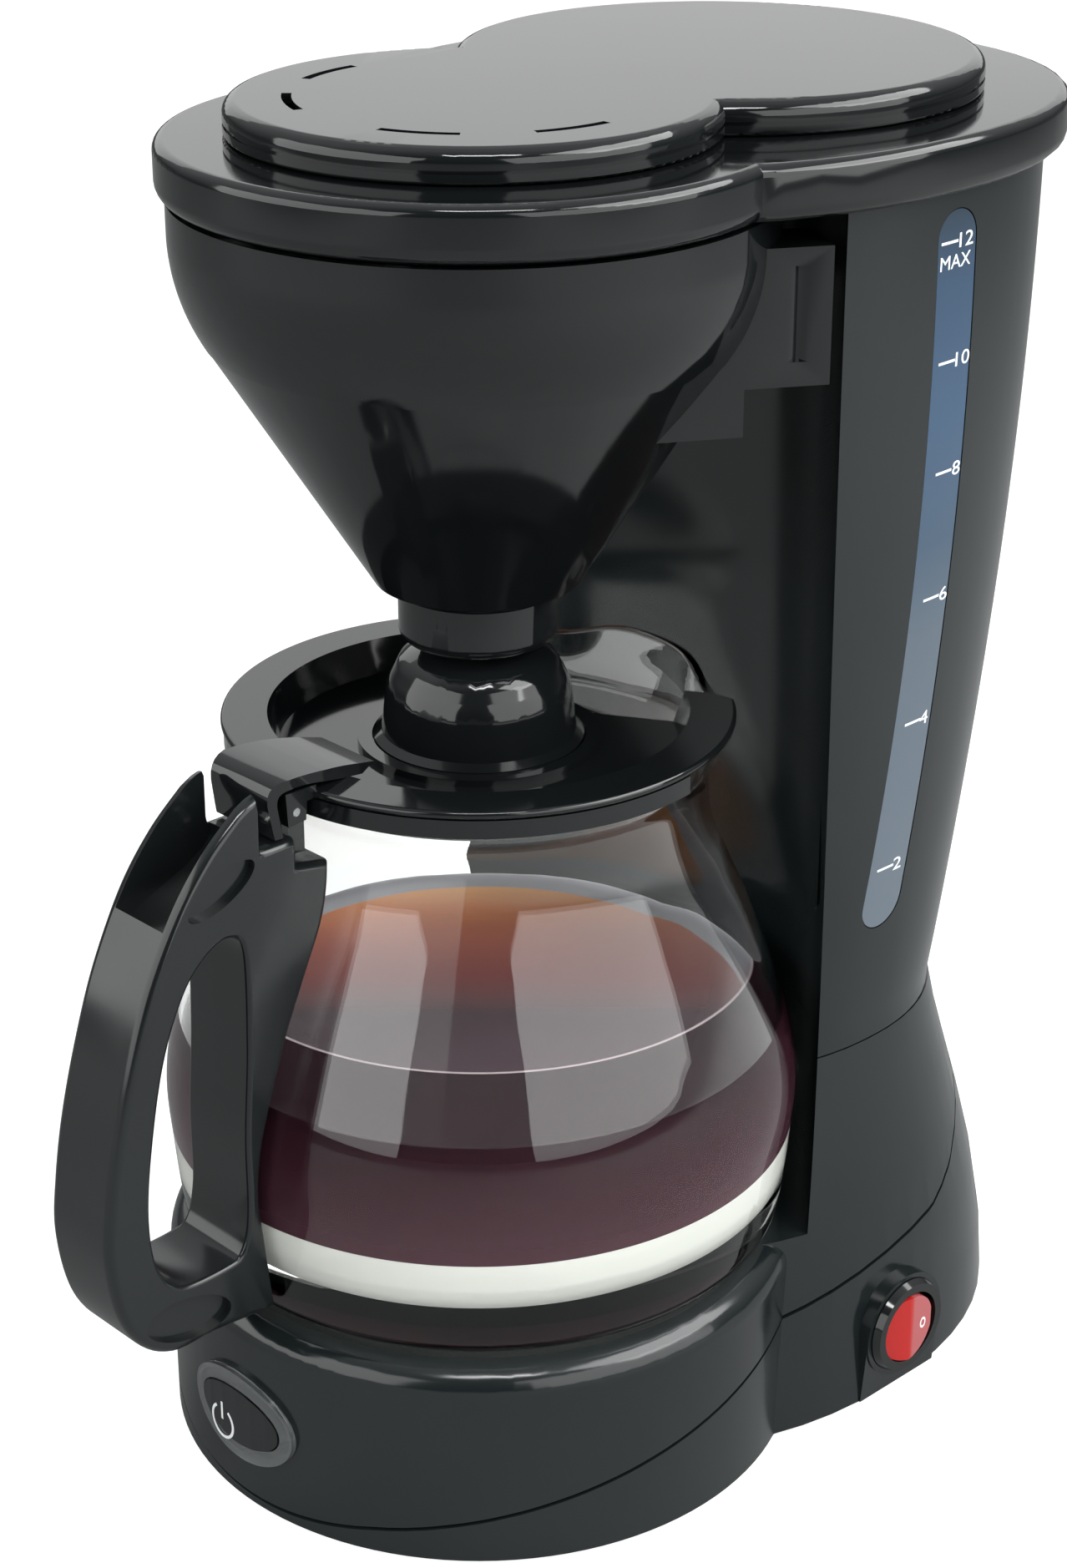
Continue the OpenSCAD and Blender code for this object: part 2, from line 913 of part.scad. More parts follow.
// Cone of the basket, its skin moved inwards by d.
module basket_cone(d, z0) {
    k = d * 1.17;
    rotate_extrude()
        polygon([[0, z0], [19.5 + (z0 - 220) * 0.627 - k, z0], [54.6 - k, 276], [61.2 - d, 299], [61.2 - d, 306], [0, 306]]);
}
module filter_basket() {
    color("#26282a")
    at_brew()
    difference() {
        union() {
            basket_cone(0, 225);
            disc(64.2, 303, 305);
        }
        basket_cone(1.6 + rib_h, 226.6);
        difference() {
            basket_cone(1.6, 226.6);
            for (i = [0:rib_count - 1])
                rotate([0, 0, i * 360 / rib_count])
                    translate([12, -0.6, 220])
                        cube([60, 1.2, 79]);
        }
        disc(6, 220, 230);
        for (i = [0:5])
            rotate([0, 0, 30 + i * 60])
                translate([9.5, -1, 220])
                    cube([7, 2, 10]);
        disc(80, 305, 310);
    }
}
module drip_stop() {
    color("#e6e4da")
    at_brew() {
        difference() {
            disc(5.22, 202.6, 211);
            disc(3.4, 202, 205);
        }
        disc(9.6, 209.5, 211);
        disc(2.6, 210.5, 213);
    }
}
module drip_stop_seal() {
    color("#8c2f26")
    at_brew()
    ring(5.6, 9.4, 206.8, 209.2);
}
// Helical wire: turns, mean radius, wire radius and the two end heights.
module coil(turns, r, w, z0, z1) {
    steps = 12;
    n = turns * steps;
    pts = [for (i = [0:n]) for (j = [0:5])
        let (a = 360 * i / steps, b = 60 * j, q = r + w * cos(b))
        [q * cos(a), q * sin(a), z0 + w + (z1 - z0 - 2 * w) * i / n + w * sin(b)]];
    skin = [for (i = [0:n - 1]) for (j = [0:5])
        let (a = i * 6 + j, b = i * 6 + (j + 1) % 6)
        each [[a, b, b + 6], [a, b + 6, a + 6]]];
    polyhedron(pts, concat([[5, 4, 3, 2, 1, 0]], skin, [[for (j = [0:5]) n * 6 + j]]));
}
module drip_stop_spring() {
    color("silver")
    at_brew()
    coil(5, 4.2, 0.4, 211.2, 221.3);
}

// ---------------------------------------------------------------- carafe

// Outside of the glass as (radius, height), from the foot to the lip.
glass_shape = [[69.5, 54.3], [73.2, 57.5], [74.6, 64], [76, 78], [76.9, 92], [75.2, 104], [71.6, 116],
    [66.6, 130], [60.6, 144], [56.2, 154], [54.2, 163], [54.1, 172], [56.4, 178], [57.4, 184]];
glass_curve = curve(glass_shape, 3);
function glass_r(z) = lookup(z, [for (p = glass_curve) [p.y, p.x]]);

module carafe_glass() {
    color([0.85, 0.9, 0.92, 0.35])
    at_brew() {
        difference() {
            rotate_extrude()
                polygon(concat([[0, 55.3], [58, 55.3], [62, 54.3]], glass_curve, [[57.4, 184.1], [0, 184.1]]));
            rotate_extrude()
                polygon(concat([[0, 66], [59, 66], [65, 67.5], [69.5, 71]],
                    [for (p = glass_curve) if (p.y > 76) [p.x - glass_t, p.y]], [[57.4 - glass_t, 190], [0, 190]]));
            // the wall opens into the lip
            rotate([0, 0, 65])
                rotate_extrude(angle = 50)
                    translate([30, 174])
                        square([60, 30]);
        }
        // pouring lip, flared outwards at the back
        rotate([0, 0, 64.5])
            rotate_extrude(angle = 51)
                polygon([[54.3, 173.5], [56.2, 178.5], [59.4, 187.6], [57.5, 188.2], [53.8, 180], [52, 173.5]]);
    }
}
// Collar round the neck, open at the lip, with the socket for the handle at the front.
module carafe_band() {
    color("#1b1d1e")
    at_brew()
    difference() {
        union() {
            rotate([0, 0, 170])
                rotate_extrude(angle = 200)
                    translate([57.7, 179.8])
                        square([1.7, 4.3]);
            translate([-6, -63, 170])
                cube([12, 5, 9]);
        }
        disc(57.7, 160, 200);
        translate([0, -50, 174.5])
            rotate([90, 0, 0])
                cylinder(r = 1.5, h = 30);
    }
}
// Side outline of the handle in (y, z), anticlockwise from the foot of the strap.
handle_in = [for (z = [168:-9:60]) [-glass_r(z) - 0.8, z]];
handle_out = curve([[-78, 59.5], [-92, 60.6], [-104, 60.6], [-112.5, 66], [-118, 76], [-120.5, 91], [-119.4, 104],
    [-116.6, 119], [-111.8, 136], [-105.6, 153], [-97, 169], [-88, 180], [-79, 187.6], [-72, 189.5]], 3);
handle_gap = curve([[-88, 76.8], [-101, 77.2], [-107, 84], [-108.8, 96], [-107.4, 112], [-102.8, 134], [-96.5, 149],
    [-90, 156.4], [-83.5, 158.6], [-79.6, 153.4], [-79.6, 130], [-81.2, 107], [-81.4, 88], [-83.5, 79], [-88, 76.8]], 2);
module carafe_handle() {
    outer = concat(handle_in, handle_out, [[-67, 186], [-64, 178.5], [-63.6, 169.8]]);
    gap_pts = [for (i = [0:len(handle_gap) - 2]) handle_gap[i]];
    color("#26282a")
    at_brew()
    difference() {
        rotate([90, 0, 90])
            loft([for (d = [2.2, 0.8, 0, 0, 0.8, 2.2]) inset(rev(outer), d)],
                [-grip_w / 2, -grip_w / 2 + 0.7, -grip_w / 2 + 2.4, grip_w / 2 - 2.4, grip_w / 2 - 0.7, grip_w / 2]);
        rotate([90, 0, 90])
            loft([for (d = [-1.1, -0.4, 0, 0, -0.4, -1.1]) inset(rev(gap_pts), d)],
                [-grip_w / 2 - 0.1, -grip_w / 2 + 0.9, -grip_w / 2 + 2.6, grip_w / 2 - 2.6, grip_w / 2 - 0.9, grip_w / 2 + 0.1]);
        // open hollow behind the thumb piece
        intersection() {
            across(grip_w - 5)
                polygon([[-73.5, 200], [-73.5, 170.9], [-76.6, 170.5], [-80, 168.5], [-90, 164.5], [-100, 160], [-104, 200]]);
            union() {
                translate([-grip_w / 2 + 2.5, -92, 150])
                    cube([grip_w - 5, 30, 60]);
                translate([0, -92, 150])
                    cylinder(r = grip_w / 2 - 2.5, h = 60);
            }
        }
        // hollow of the lower arm, open underneath
        across(grip_w - 5)
            polygon([[-84, 50], [-84, 66], [-88, 73.5], [-100, 73.5], [-106, 70], [-102, 50]]);
        translate([0, -50, 174.5])
            rotate([90, 0, 0])
                cylinder(r = 1.8, h = 40);
        // oval finger dimples in both sides of the two arms
        for (s = [-1, 1])
            for (p = [[-85.3, 170.8, 24, 10, 3.9], [-99.8, 68.2, -12, 12, 5.4]])
                translate([s * grip_w / 2, p[0], p[1]])
                    rotate([p[2], 0, 0])
                        scale([1, p[3], p[4]])
                            rotate([0, 90, 0])
                                cylinder(r = 1, h = 3.4, center = true, $fn = 48);
        // room for the lid's thumb piece
        translate([-20, -74, 176.6])
            cube([40, 20.5, 30]);
    }
    // knuckle of the lid's hinge
    color("#26282a")
    at_brew()
    difference() {
        across(15.6)
            union() {
                translate([-63.5, 182.5])
                    circle(r = 2.6);
                translate([-65.6, 175])
                    square([1.8, 6]);
            }
        translate([0, -63.5, 182.5])
            rotate([0, 90, 0])
                cylinder(r = 1.05, h = 40, center = true);
        translate([0, -50, 174.5])
            rotate([90, 0, 0])
                cylinder(r = 1.8, h = 40);
    }
}
function rev(p) = [for (i = [len(p) - 1:-1:0]) p[i]];
module handle_screws() {
    color("silver")
    at_brew()
    translate([0, -73.8, 174.5])
        rotate([-90, 0, 0]) {
            translate([0, 0, -2])
                cylinder(r = 3.2, h = 2);
            cylinder(r = 1.45, h = 14.6);
        }
}
module carafe_lid() {
    color("#1b1d1e")
    at_brew()
    difference() {
        union() {
            rotate_extrude()
                union() {
                    // flange, dish, step ring and dome, each a turned section
                    translate([50, 184.4])
                        square([cap_r - 51, 2]);
                    translate([cap_r - 1, 185.4])
                        circle(r = 1);
                    polygon([[51.6, 186.4], [49.2, 186.4], [46.8, 178.2], [22, 178.2], [22, 176], [48.6, 176], [51.6, 184]]);
                    polygon([[49.9, 184.9], [49.9, 176.2], [51.4, 176.2], [52.6, 184.9]]);
                    translate([25, 178])
                        square([3.4, 1.8]);
                    difference() {
                        polygon([[24.6, 176], [24.6, 180], [22.8, 181.5], [21.4, 193], [18.2, 199], [12, 202], [0, 202], [0, 176]]);
                        polygon([[22.4, 170], [22.4, 179.4], [20.6, 180.6], [19.2, 192], [16.6, 197.2], [11.4, 199.8], [0, 199.8], [0, 170]]);
                    }
                }
            // thumb piece that stands over the handle
            thumb();
            both_sides()
                translate([8, -64, 184.4])
                    cube([2.6, 8, 2]);
        }
        // mouth cut for the pouring lip
        translate([0, 0, 160])
            linear_extrude(60)
                polygon([[0, 27], [7, 29], [15, 34], [32.4, 44.6], [44, 47], [30, 70], [-30, 70], [-44, 47], [-32.4, 44.6], [-15, 34], [-7, 29]]);
        for (i = [0:5])
            rotate([0, 0, i * 60])
                translate([8, 0, 190])
                    cylinder(r = 1.8, h = 20);
        translate([0, -63.5, 182.5])
            rotate([0, 90, 0])
                cylinder(r = 1.05, h = 40, center = true);
        // clearance round the knuckle
        translate([-8.1, -66.6, 179])
            cube([16.2, 6.2, 6.6]);
    }
}
// Curved shell: rises from the lid's edge, spreads and turns down at its front end.
module thumb() {
    prof = concat(curve([[-40, 187.2], [-50, 189.6], [-60, 191], [-68, 191], [-71, 188], [-70.4, 182], [-69.6, 177.6]], 3),
        rev(curve([[-44, 185.6], [-52, 187], [-60, 188.6], [-66.4, 188.8], [-68.8, 186.8], [-68.4, 182], [-67.8, 177.8]], 3)));
    difference() {
        across(25)
            polygon(prof);
        both_sides()
            translate([0, 0, 170])
                linear_extrude(40)
                    polygon([[8.4, -36], [10, -45], [11.2, -56], [11.4, -66], [9.6, -72], [30, -72], [30, -36]]);
    }
    both_sides()
        translate([8.2, 0, 0])
            rotate([90, 0, 90])
                linear_extrude(2.4)
                    polygon([[-58, 187.5], [-58, 184.6], [-60.6, 184.4], [-61, 180], [-66, 179.6], [-66.5, 187.6]]);
}
module carafe_lid_pin() {
    color("silver")
    at_brew()
    translate([0, -63.5, 182.5])
        rotate([0, 90, 0])
            cylinder(r = 1, h = 21, center = true);
}

// ---------------------------------------------------------------- controls

module switch_bezel() {
    color("#16181a")
    at_brew()
    translate([0, sw_y, sw_z])
        rotate([0, 90, 0])
            difference() {
                union() {
                    translate([0, 0, 78.5])
                        cylinder(r1 = 12.6, r2 = 11.8, h = 1.8);
                    translate([0, 0, 66])
                        cylinder(r = 11.5, h = 13);
                }
                translate([0, 0, 60])
                    cylinder(r = 10.4, h = 18.6);
                translate([0, 0, 60])
                    cylinder(r = 9.6, h = 30);
                translate([0, 0, 73.5])
                    rotate([0, 90, 0])
                        cylinder(r = 1.2, h = 30, center = true);
            }
}
module switch_body() {
    color("#16181a")
    at_brew()
    translate([0, sw_y, sw_z])
        rotate([0, 90, 0]) {
            difference() {
                translate([0, 0, 54])
                    cylinder(r = 10.2, h = 14);
                translate([0, 0, 62])
                    cylinder(r = 9, h = 10);
            }
            for (y = [-4.5, 4.5])
                translate([-2.4, y - 0.4, 45])
                    cube([4.8, 0.8, 10]);
        }
}
module switch_rocker() {
    color("#b3262a")
    at_brew()
    translate([73.5, sw_y, sw_z])
        rotate([0, 0, -8]) {
            intersection() {
                rotate([0, 90, 0])
                    cylinder(r = 9, h = 30, center = true);
                linear_extrude(20, center = true)
                    polygon([[-3.5, -3.4], [0, -8.7], [5.6, -8.7], [7.6, 0], [5.6, 8.7], [0, 8.7], [-3.5, 3.4]]);
            }
            cylinder(r = 1.15, h = 22, center = true);
        }
}
module button_bezel() {
    color([0.5, 0.52, 0.54, 0.6])
    at_brew()
    difference() {
        intersection() {
            union() {
                button_oval(16.6, 10.1, -90, -68);
                difference() {
                    button_oval(18, 11.8, -90, -60);
                    disc(drum_r + 0.3, 0, 60);
                }
            }
            disc(drum_r + 1.7, 0, 60);
        }
        button_oval(14.4, 7.9, -95, -60);
        button_oval(15.9, 9.4, -72.3, -60);
    }
}
module power_button() {
    color("#1b1d1e")
    at_brew()
    intersection() {
        union() {
            difference() {
                button_oval(14, 7.5, -90, -71);
                button_oval(12, 5.5, -77.5, -70);
            }
            difference() {
                button_oval(15.5, 9, -72, -70.5);
                button_oval(12, 5.5, -77.5, -70);
            }
            translate([0, -68.3, button_z])
                rotate([90, 0, 0])
                    cylinder(r = 1.5, h = 10);
        }
        disc(drum_r + 2, 0, 60);
    }
}
module button_spring() {
    color("silver")
    at_brew()
    translate([0, -66.2, button_z])
        rotate([90, 0, 0])
            translate([0, 0, -0.6])
                coil(3, 3.4, 0.3, 0, 4.6);
}
module control_board() {
    color("#2f5b3a")
    at_brew()
    union() {
        translate([-22, -62.6, 13])
            cube([44, 1.6, 24]);
        translate([-3, -65.5, button_z - 3])
            cube([6, 3, 6]);
        translate([0, -65, button_z])
            rotate([90, 0, 0])
                cylinder(r = 1.7, h = 1.2);
        for (x = [-15, 15])
            translate([x, -60.9, 20])
                rotate([-90, 0, 0])
                    cylinder(r = 3.5, h = 7);
    }
}
module cord_gland() {
    color("#16181a")
    at_brew()
    translate([0, 0, 14])
        rotate([-90, 0, 0])
            difference() {
                union() {
                    translate([0, 0, 153.8])
                        cylinder(r = 7, h = 1.8);
                    translate([0, 0, 146])
                        cylinder(r = 5, h = 8);
                    translate([0, 0, 146])
                        cylinder(r = 6.4, h = 2.6);
                }
                translate([0, 0, 140])
                    cylinder(r = 3.3, h = 20);
            }
}

base_housing();
base_tray();
rubber_feet();
base_screws();
warming_plate();
plate_seal();
heating_element();
element_bracket();
bracket_nut();
thermostat();
cold_hose();
hot_hose();
check_valve();
hose_clips();
tower_housing();
tank_floor();
level_window();
riser_tube();
spray_head();
top_deck();
lid();
lid_hinge_pin();
filter_holder();
holder_hinge_pin();
filter_basket();
drip_stop();
drip_stop_seal();
drip_stop_spring();
carafe_glass();
carafe_band();
carafe_handle();
handle_screws();
carafe_lid();
carafe_lid_pin();
switch_bezel();
switch_body();
switch_rocker();
button_bezel();
power_button();
button_spring();
control_board();
cord_gland();
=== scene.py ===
import json
import math
import bmesh
import bpy
import numpy as np
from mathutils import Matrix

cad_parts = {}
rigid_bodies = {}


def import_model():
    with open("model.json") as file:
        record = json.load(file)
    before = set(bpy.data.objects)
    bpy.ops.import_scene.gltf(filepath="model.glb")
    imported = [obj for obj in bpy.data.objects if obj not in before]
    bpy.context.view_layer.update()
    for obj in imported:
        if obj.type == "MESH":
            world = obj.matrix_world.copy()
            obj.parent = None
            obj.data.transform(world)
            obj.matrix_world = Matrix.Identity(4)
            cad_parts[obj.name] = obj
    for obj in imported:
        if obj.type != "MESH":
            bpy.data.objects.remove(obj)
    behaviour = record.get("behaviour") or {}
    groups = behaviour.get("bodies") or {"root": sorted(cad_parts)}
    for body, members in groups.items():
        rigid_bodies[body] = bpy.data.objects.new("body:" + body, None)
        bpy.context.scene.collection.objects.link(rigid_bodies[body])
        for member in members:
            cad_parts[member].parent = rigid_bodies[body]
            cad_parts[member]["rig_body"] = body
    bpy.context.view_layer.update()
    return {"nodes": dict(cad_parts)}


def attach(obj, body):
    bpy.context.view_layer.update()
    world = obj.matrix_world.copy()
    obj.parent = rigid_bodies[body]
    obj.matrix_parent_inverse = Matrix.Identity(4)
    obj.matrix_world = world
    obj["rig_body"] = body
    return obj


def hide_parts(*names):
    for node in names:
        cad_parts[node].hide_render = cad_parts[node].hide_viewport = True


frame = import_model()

# Drip coffee maker. Shapes are laid out in millimetres round the brewing axis (warming plate,
# carafe and filter holder share it) and brought to metres in the frame by metres().
AXIS_Y = -18.25
# Height of the liquid in the carafe, thickness of the carafe's wall, and radius of the curved
# front of the power button, in millimetres.
LEVEL = 109.0
WALL = 2.2
BUTTON_R = 80.0


def metres(points):
    """Points in millimetres round the brewing axis, as an (n, 3) array in frame metres."""
    p = np.asarray(points, float).reshape(-1, 3) + (0.0, AXIS_Y, 0.0)
    return p * 0.001


def tint(code):
    """Linear colour of an sRGB hex code, by the sRGB curve, with alpha 1."""
    c = np.array([int(code[i:i + 2], 16) for i in (1, 3, 5)]) / 255.0
    lin = np.where(c <= 0.04045, c / 12.92, ((c + 0.055) / 1.055) ** 2.4)
    return (*[float(v) for v in lin], 1.0)


# ------------------------------------------------------------------ camera and lamps

def set_camera():
    """Long lens that looks 24 degrees down from the right-hand front corner."""
    cam = bpy.data.cameras.new("camera")
    cam.sensor_width = 36.0
    cam.lens = 70.55
    cam.clip_start = 0.02
    eye = bpy.data.objects.new("camera", cam)
    eye.location = (0.4882, -0.46255, 0.4635)
    eye.rotation_euler = (math.radians(90 - 24.25), 0, math.radians(46.59))
    bpy.context.scene.collection.objects.link(eye)
    bpy.context.scene.camera = eye


def softbox(name, centre, aim, size, power):
    """Rectangular lamp at centre, turned so that its -Z axis points at aim."""
    lamp = bpy.data.lights.new(name, "AREA")
    lamp.shape = "RECTANGLE"
    lamp.size, lamp.size_y = size
    lamp.energy = power
    o = bpy.data.objects.new(name, lamp)
    back = np.array(centre, float) - np.array(aim, float)
    back /= np.linalg.norm(back)
    side = np.cross((0.0, 0.0, 1.0), back)
    side = side / np.linalg.norm(side) if np.linalg.norm(side) > 1e-6 else np.array((1.0, 0, 0))
    top = np.cross(back, side)
    m = np.eye(4)
    m[:3, 0], m[:3, 1], m[:3, 2], m[:3, 3] = side, top, back, centre
    o.matrix_world = [list(map(float, r)) for r in m.T]
    o.visible_camera = False
    bpy.context.scene.collection.objects.link(o)


set_camera()


# ------------------------------------------------------------------ node helper

def node(tree, kind, links=(), **settings):
    """Adds a node. settings are attributes, or values of inputs when the name is in_<index or
    name>; links are (input, source socket) pairs."""
    n = tree.nodes.new("ShaderNode" + kind)
    for key, value in settings.items():
        if key.startswith("in_"):
            key = key[3:]
            n.inputs[int(key) if key.isdigit() else key.replace("_", " ")].default_value = value
        else:
            setattr(n, key, value)
    for key, source in links:
        tree.links.new(source, n.inputs[key])
    return n


def fresh(name):
    """New material with an empty tree: (material, tree, output node)."""
    m = bpy.data.materials.new(name)
    m.use_nodes = True
    m.node_tree.nodes.clear()
    return m, m.node_tree, node(m.node_tree, "OutputMaterial")


def ramp(tree, source, stops):
    """Colour ramp over (position, hex) stops."""
    r = node(tree, "ValToRGB", [(0, source)])
    e = r.color_ramp.elements
    while len(e) < len(stops):
        e.new(0.5)
    for el, (at, code) in zip(e, stops):
        el.position, el.color = at, tint(code)
    return r.outputs[0]


def spread(tree, source, low, high, a=0.0, b=1.0):
    """Map Range from a..b to low..high."""
    return node(tree, "MapRange", [(0, source)], in_1=a, in_2=b, in_3=low, in_4=high).outputs[0]


def blend(tree, factor, a, b):
    """Colour a where factor is 0 and b where it is 1; each is a socket or a colour."""
    n = node(tree, "Mix", [("Factor", factor)], data_type="RGBA")
    for socket, value in ((6, a), (7, b)):
        if isinstance(value, tuple):
            n.inputs[socket].default_value = value
        else:
            tree.links.new(value, n.inputs[socket])
    return n.outputs[2]


def round_axis(tree):
    """Height, distance from the brewing axis, and place in plan round that axis, in metres."""
    at = node(tree, "Mapping", [(0, node(tree, "TexCoord").outputs["Object"])],
              in_Location=(0.0, -AXIS_Y * 0.001, 0.0)).outputs[0]
    x, y, z = node(tree, "SeparateXYZ", [(0, at)]).outputs
    flat = node(tree, "CombineXYZ", [(0, x), (1, y)]).outputs[0]
    return z, node(tree, "VectorMath", [(0, flat)], operation="LENGTH").outputs["Value"], flat


def both(tree, a, b):
    """Product of two masks or values."""
    return node(tree, "Math", [(0, a), (1, b)], operation="MULTIPLY").outputs[0]


def below(tree, value, limit):
    """Mask that is 1 where value is under the limit."""
    return node(tree, "Math", [(0, value)], operation="LESS_THAN", in_1=limit).outputs[0]


def above(tree, value, limit):
    """Mask that is 1 where value is over the limit."""
    return node(tree, "Math", [(0, value)], operation="GREATER_THAN", in_1=limit).outputs[0]


def grain(tree, size_mm, detail=3.0, rough=0.55, at=None):
    """Noise whose cells are about size_mm across, on Object coordinates."""
    at = at or node(tree, "TexCoord").outputs["Object"]
    return node(tree, "TexNoise", [("Vector", at)], in_Scale=1000.0 / size_mm, in_Detail=detail,
                in_Roughness=rough).outputs["Fac"]


def bump(tree, height, distance_mm, under=None):
    """Normal raised by height, distance_mm at most, over another normal where one is given."""
    links = [("Height", height)] + ([("Normal", under)] if under else [])
    return node(tree, "Bump", links, in_Strength=1.0, in_Distance=distance_mm * 0.001).outputs[0]


def moulded(name, dark, light, rough, etch_mm, etch_depth, flow_mm=38.0, flow_depth=0.02, **shader):
    """Injection-moulded plastic: colour drifts slightly over centimetres, roughness follows the
    tool's polish, and the skin has the etched grain and the long waves of shrinkage."""
    m, t, out = fresh(name)
    drift = grain(t, 60.0, 2.0, 0.4)
    polish = grain(t, 24.0, 2.0, 0.5)
    skin = grain(t, etch_mm, 2.0, 0.6)
    waves = grain(t, flow_mm, 1.0, 0.3)
    base = ramp(t, drift, [(0.3, dark), (0.72, light)])
    r = spread(t, polish, rough[0], rough[1], 0.3, 0.7)
    n = bump(t, skin, etch_depth, bump(t, waves, flow_depth))
    s = node(t, "BsdfPrincipled", [("Base Color", base), ("Roughness", r), ("Normal", n)], **shader)
    t.links.new(s.outputs[0], out.inputs[0])
    return m


# ------------------------------------------------------------------ materials

# Gloss black ABS from a polished tool: a deep black mirror, with faint waves where it shrank.
ABS_GLOSS = moulded("abs_gloss_moulded", "#0f1112", "#131617", (0.07, 0.1),
                    1.2, 0.0004, 42.0, 0.03, in_IOR=1.53)
# The same ABS from a lightly etched tool: the highlights spread, and the black turns grey-green.
ABS_SATIN = moulded("abs_satin_moulded", "#14191a", "#181e1f", (0.13, 0.18),
                    0.7, 0.0008, 40.0, 0.03, in_IOR=1.53)
# Black glass-filled nylon of the handle: half gloss, a little greyer than the shells.
NYLON = moulded("nylon_half_gloss_moulded", "#131617", "#1a1e1f", (0.13, 0.2),
                0.8, 0.0012, 30.0, 0.02, in_IOR=1.53)
# Black polypropylene inside the brewer: duller, never polished.
PP_BLACK = moulded("polypropylene_black_moulded", "#141617", "#1c1e1f", (0.36, 0.48), 0.6, 0.003, in_IOR=1.49)
# Grey polypropylene of the tank's floor: matt and light, so it shows through the window.
PP_GREY = moulded("polypropylene_grey_moulded", "#5d6468", "#687074", (0.36, 0.48), 0.6, 0.003, in_IOR=1.49)
# Uncoloured polypropylene: a waxy off-white on the small parts inside.
PP_NATURAL = moulded("polypropylene_natural_moulded", "#d6d3c8", "#e4e1d6", (0.36, 0.46), 0.6, 0.002,
                     in_IOR=1.49)
# Pressed silicone rubber of the seals: dull brick red.
SILICONE_RED = moulded("silicone_rubber_red", "#7a271f", "#8e3026", (0.45, 0.55), 0.6, 0.003, in_IOR=1.41)
# Extruded silicone of the hoses: milky and soft.
SILICONE_CLEAR = moulded("silicone_hose_translucent", "#c3c7c5", "#d4d7d5", (0.35, 0.45), 0.8, 0.003,
                         in_IOR=1.41)
# Moulded rubber of the feet: grainy and almost without shine.
RUBBER = moulded("rubber_black_moulded", "#1a1b1c", "#232425", (0.62, 0.75), 0.5, 0.006, in_IOR=1.52)
# Pressed and fired steatite of the thermostat: chalky cream.
CERAMIC = moulded("steatite_ceramic", "#cfcabb", "#dedacd", (0.4, 0.5), 0.5, 0.003, in_IOR=1.6)


def metal(name, colour, rough, line_mm=0.0):
    """Bright or drawn metal: fine drawing lines as stretched noise over the roughness."""
    m, t, out = fresh(name)
    at = node(t, "TexCoord").outputs["Object"]
    if line_mm:
        at = node(t, "Mapping", [(0, at)], in_Scale=(1.0, 1.0, 0.04)).outputs[0]
    g = grain(t, line_mm or 1.5, 4.0, 0.6, at)
    r = spread(t, g, rough[0], rough[1], 0.3, 0.7)
    b = ramp(t, grain(t, 14.0), [(0.3, colour[0]), (0.7, colour[1])])
    s = node(t, "BsdfPrincipled", [("Base Color", b), ("Roughness", r), ("Normal", bump(t, g, 0.002))],
             in_Metallic=1.0)
    t.links.new(s.outputs[0], out.inputs[0])
    return m


# Zinc-plated steel of screws, pins and springs: cool and bright, slightly clouded.
STEEL = metal("steel_zinc_plated", ("#b4b6b6", "#c6c8c8"), (0.22, 0.34))
# Die-cast aluminium of the heater: greyer and drawn with fine lines.
ALUMINIUM = metal("aluminium_cast_heater", ("#a9abac", "#bcbebf"), (0.38, 0.5), 0.9)


def enamelled():
    """Dark non-stick coating sprayed on a steel plate: fine orange peel and baked-on speckle."""
    m, t, out = fresh("nonstick_coating_sprayed")
    peel = grain(t, 1.6, 3.0)
    b = ramp(t, grain(t, 0.9, 5.0, 0.7), [(0.35, "#1b1c1d"), (0.7, "#292b2c")])
    s = node(t, "BsdfPrincipled", [("Base Color", b), ("Roughness", spread(t, peel, 0.3, 0.42)),
                                   ("Normal", bump(t, peel, 0.006))], in_IOR=1.38)
    t.links.new(s.outputs[0], out.inputs[0])
    return m


COATING = enamelled()


# Middle of the carafe's wall: (height, radius) in millimetres. What lies inside it is the inner
# face of the glass.
WALL_MIDDLE = ((62.0, 73.2), (70.0, 74.1), (78.0, 74.9), (85.0, 75.6), (92.0, 75.8), (98.0, 75.3),
               (104.0, 74.1), (122.0, 68.6))
# Metres: where the inner face starts above the heavy base, how high its painted pale band reaches, the
# # radius from which the band starts, and how high the liquid wets the wall.
INNER_FROM, PAINTED_BAND_TOP, PAINTED_BAND_FROM = 0.0629, 0.081, 0.057
WET_TO = LEVEL * 0.001 + 0.0007


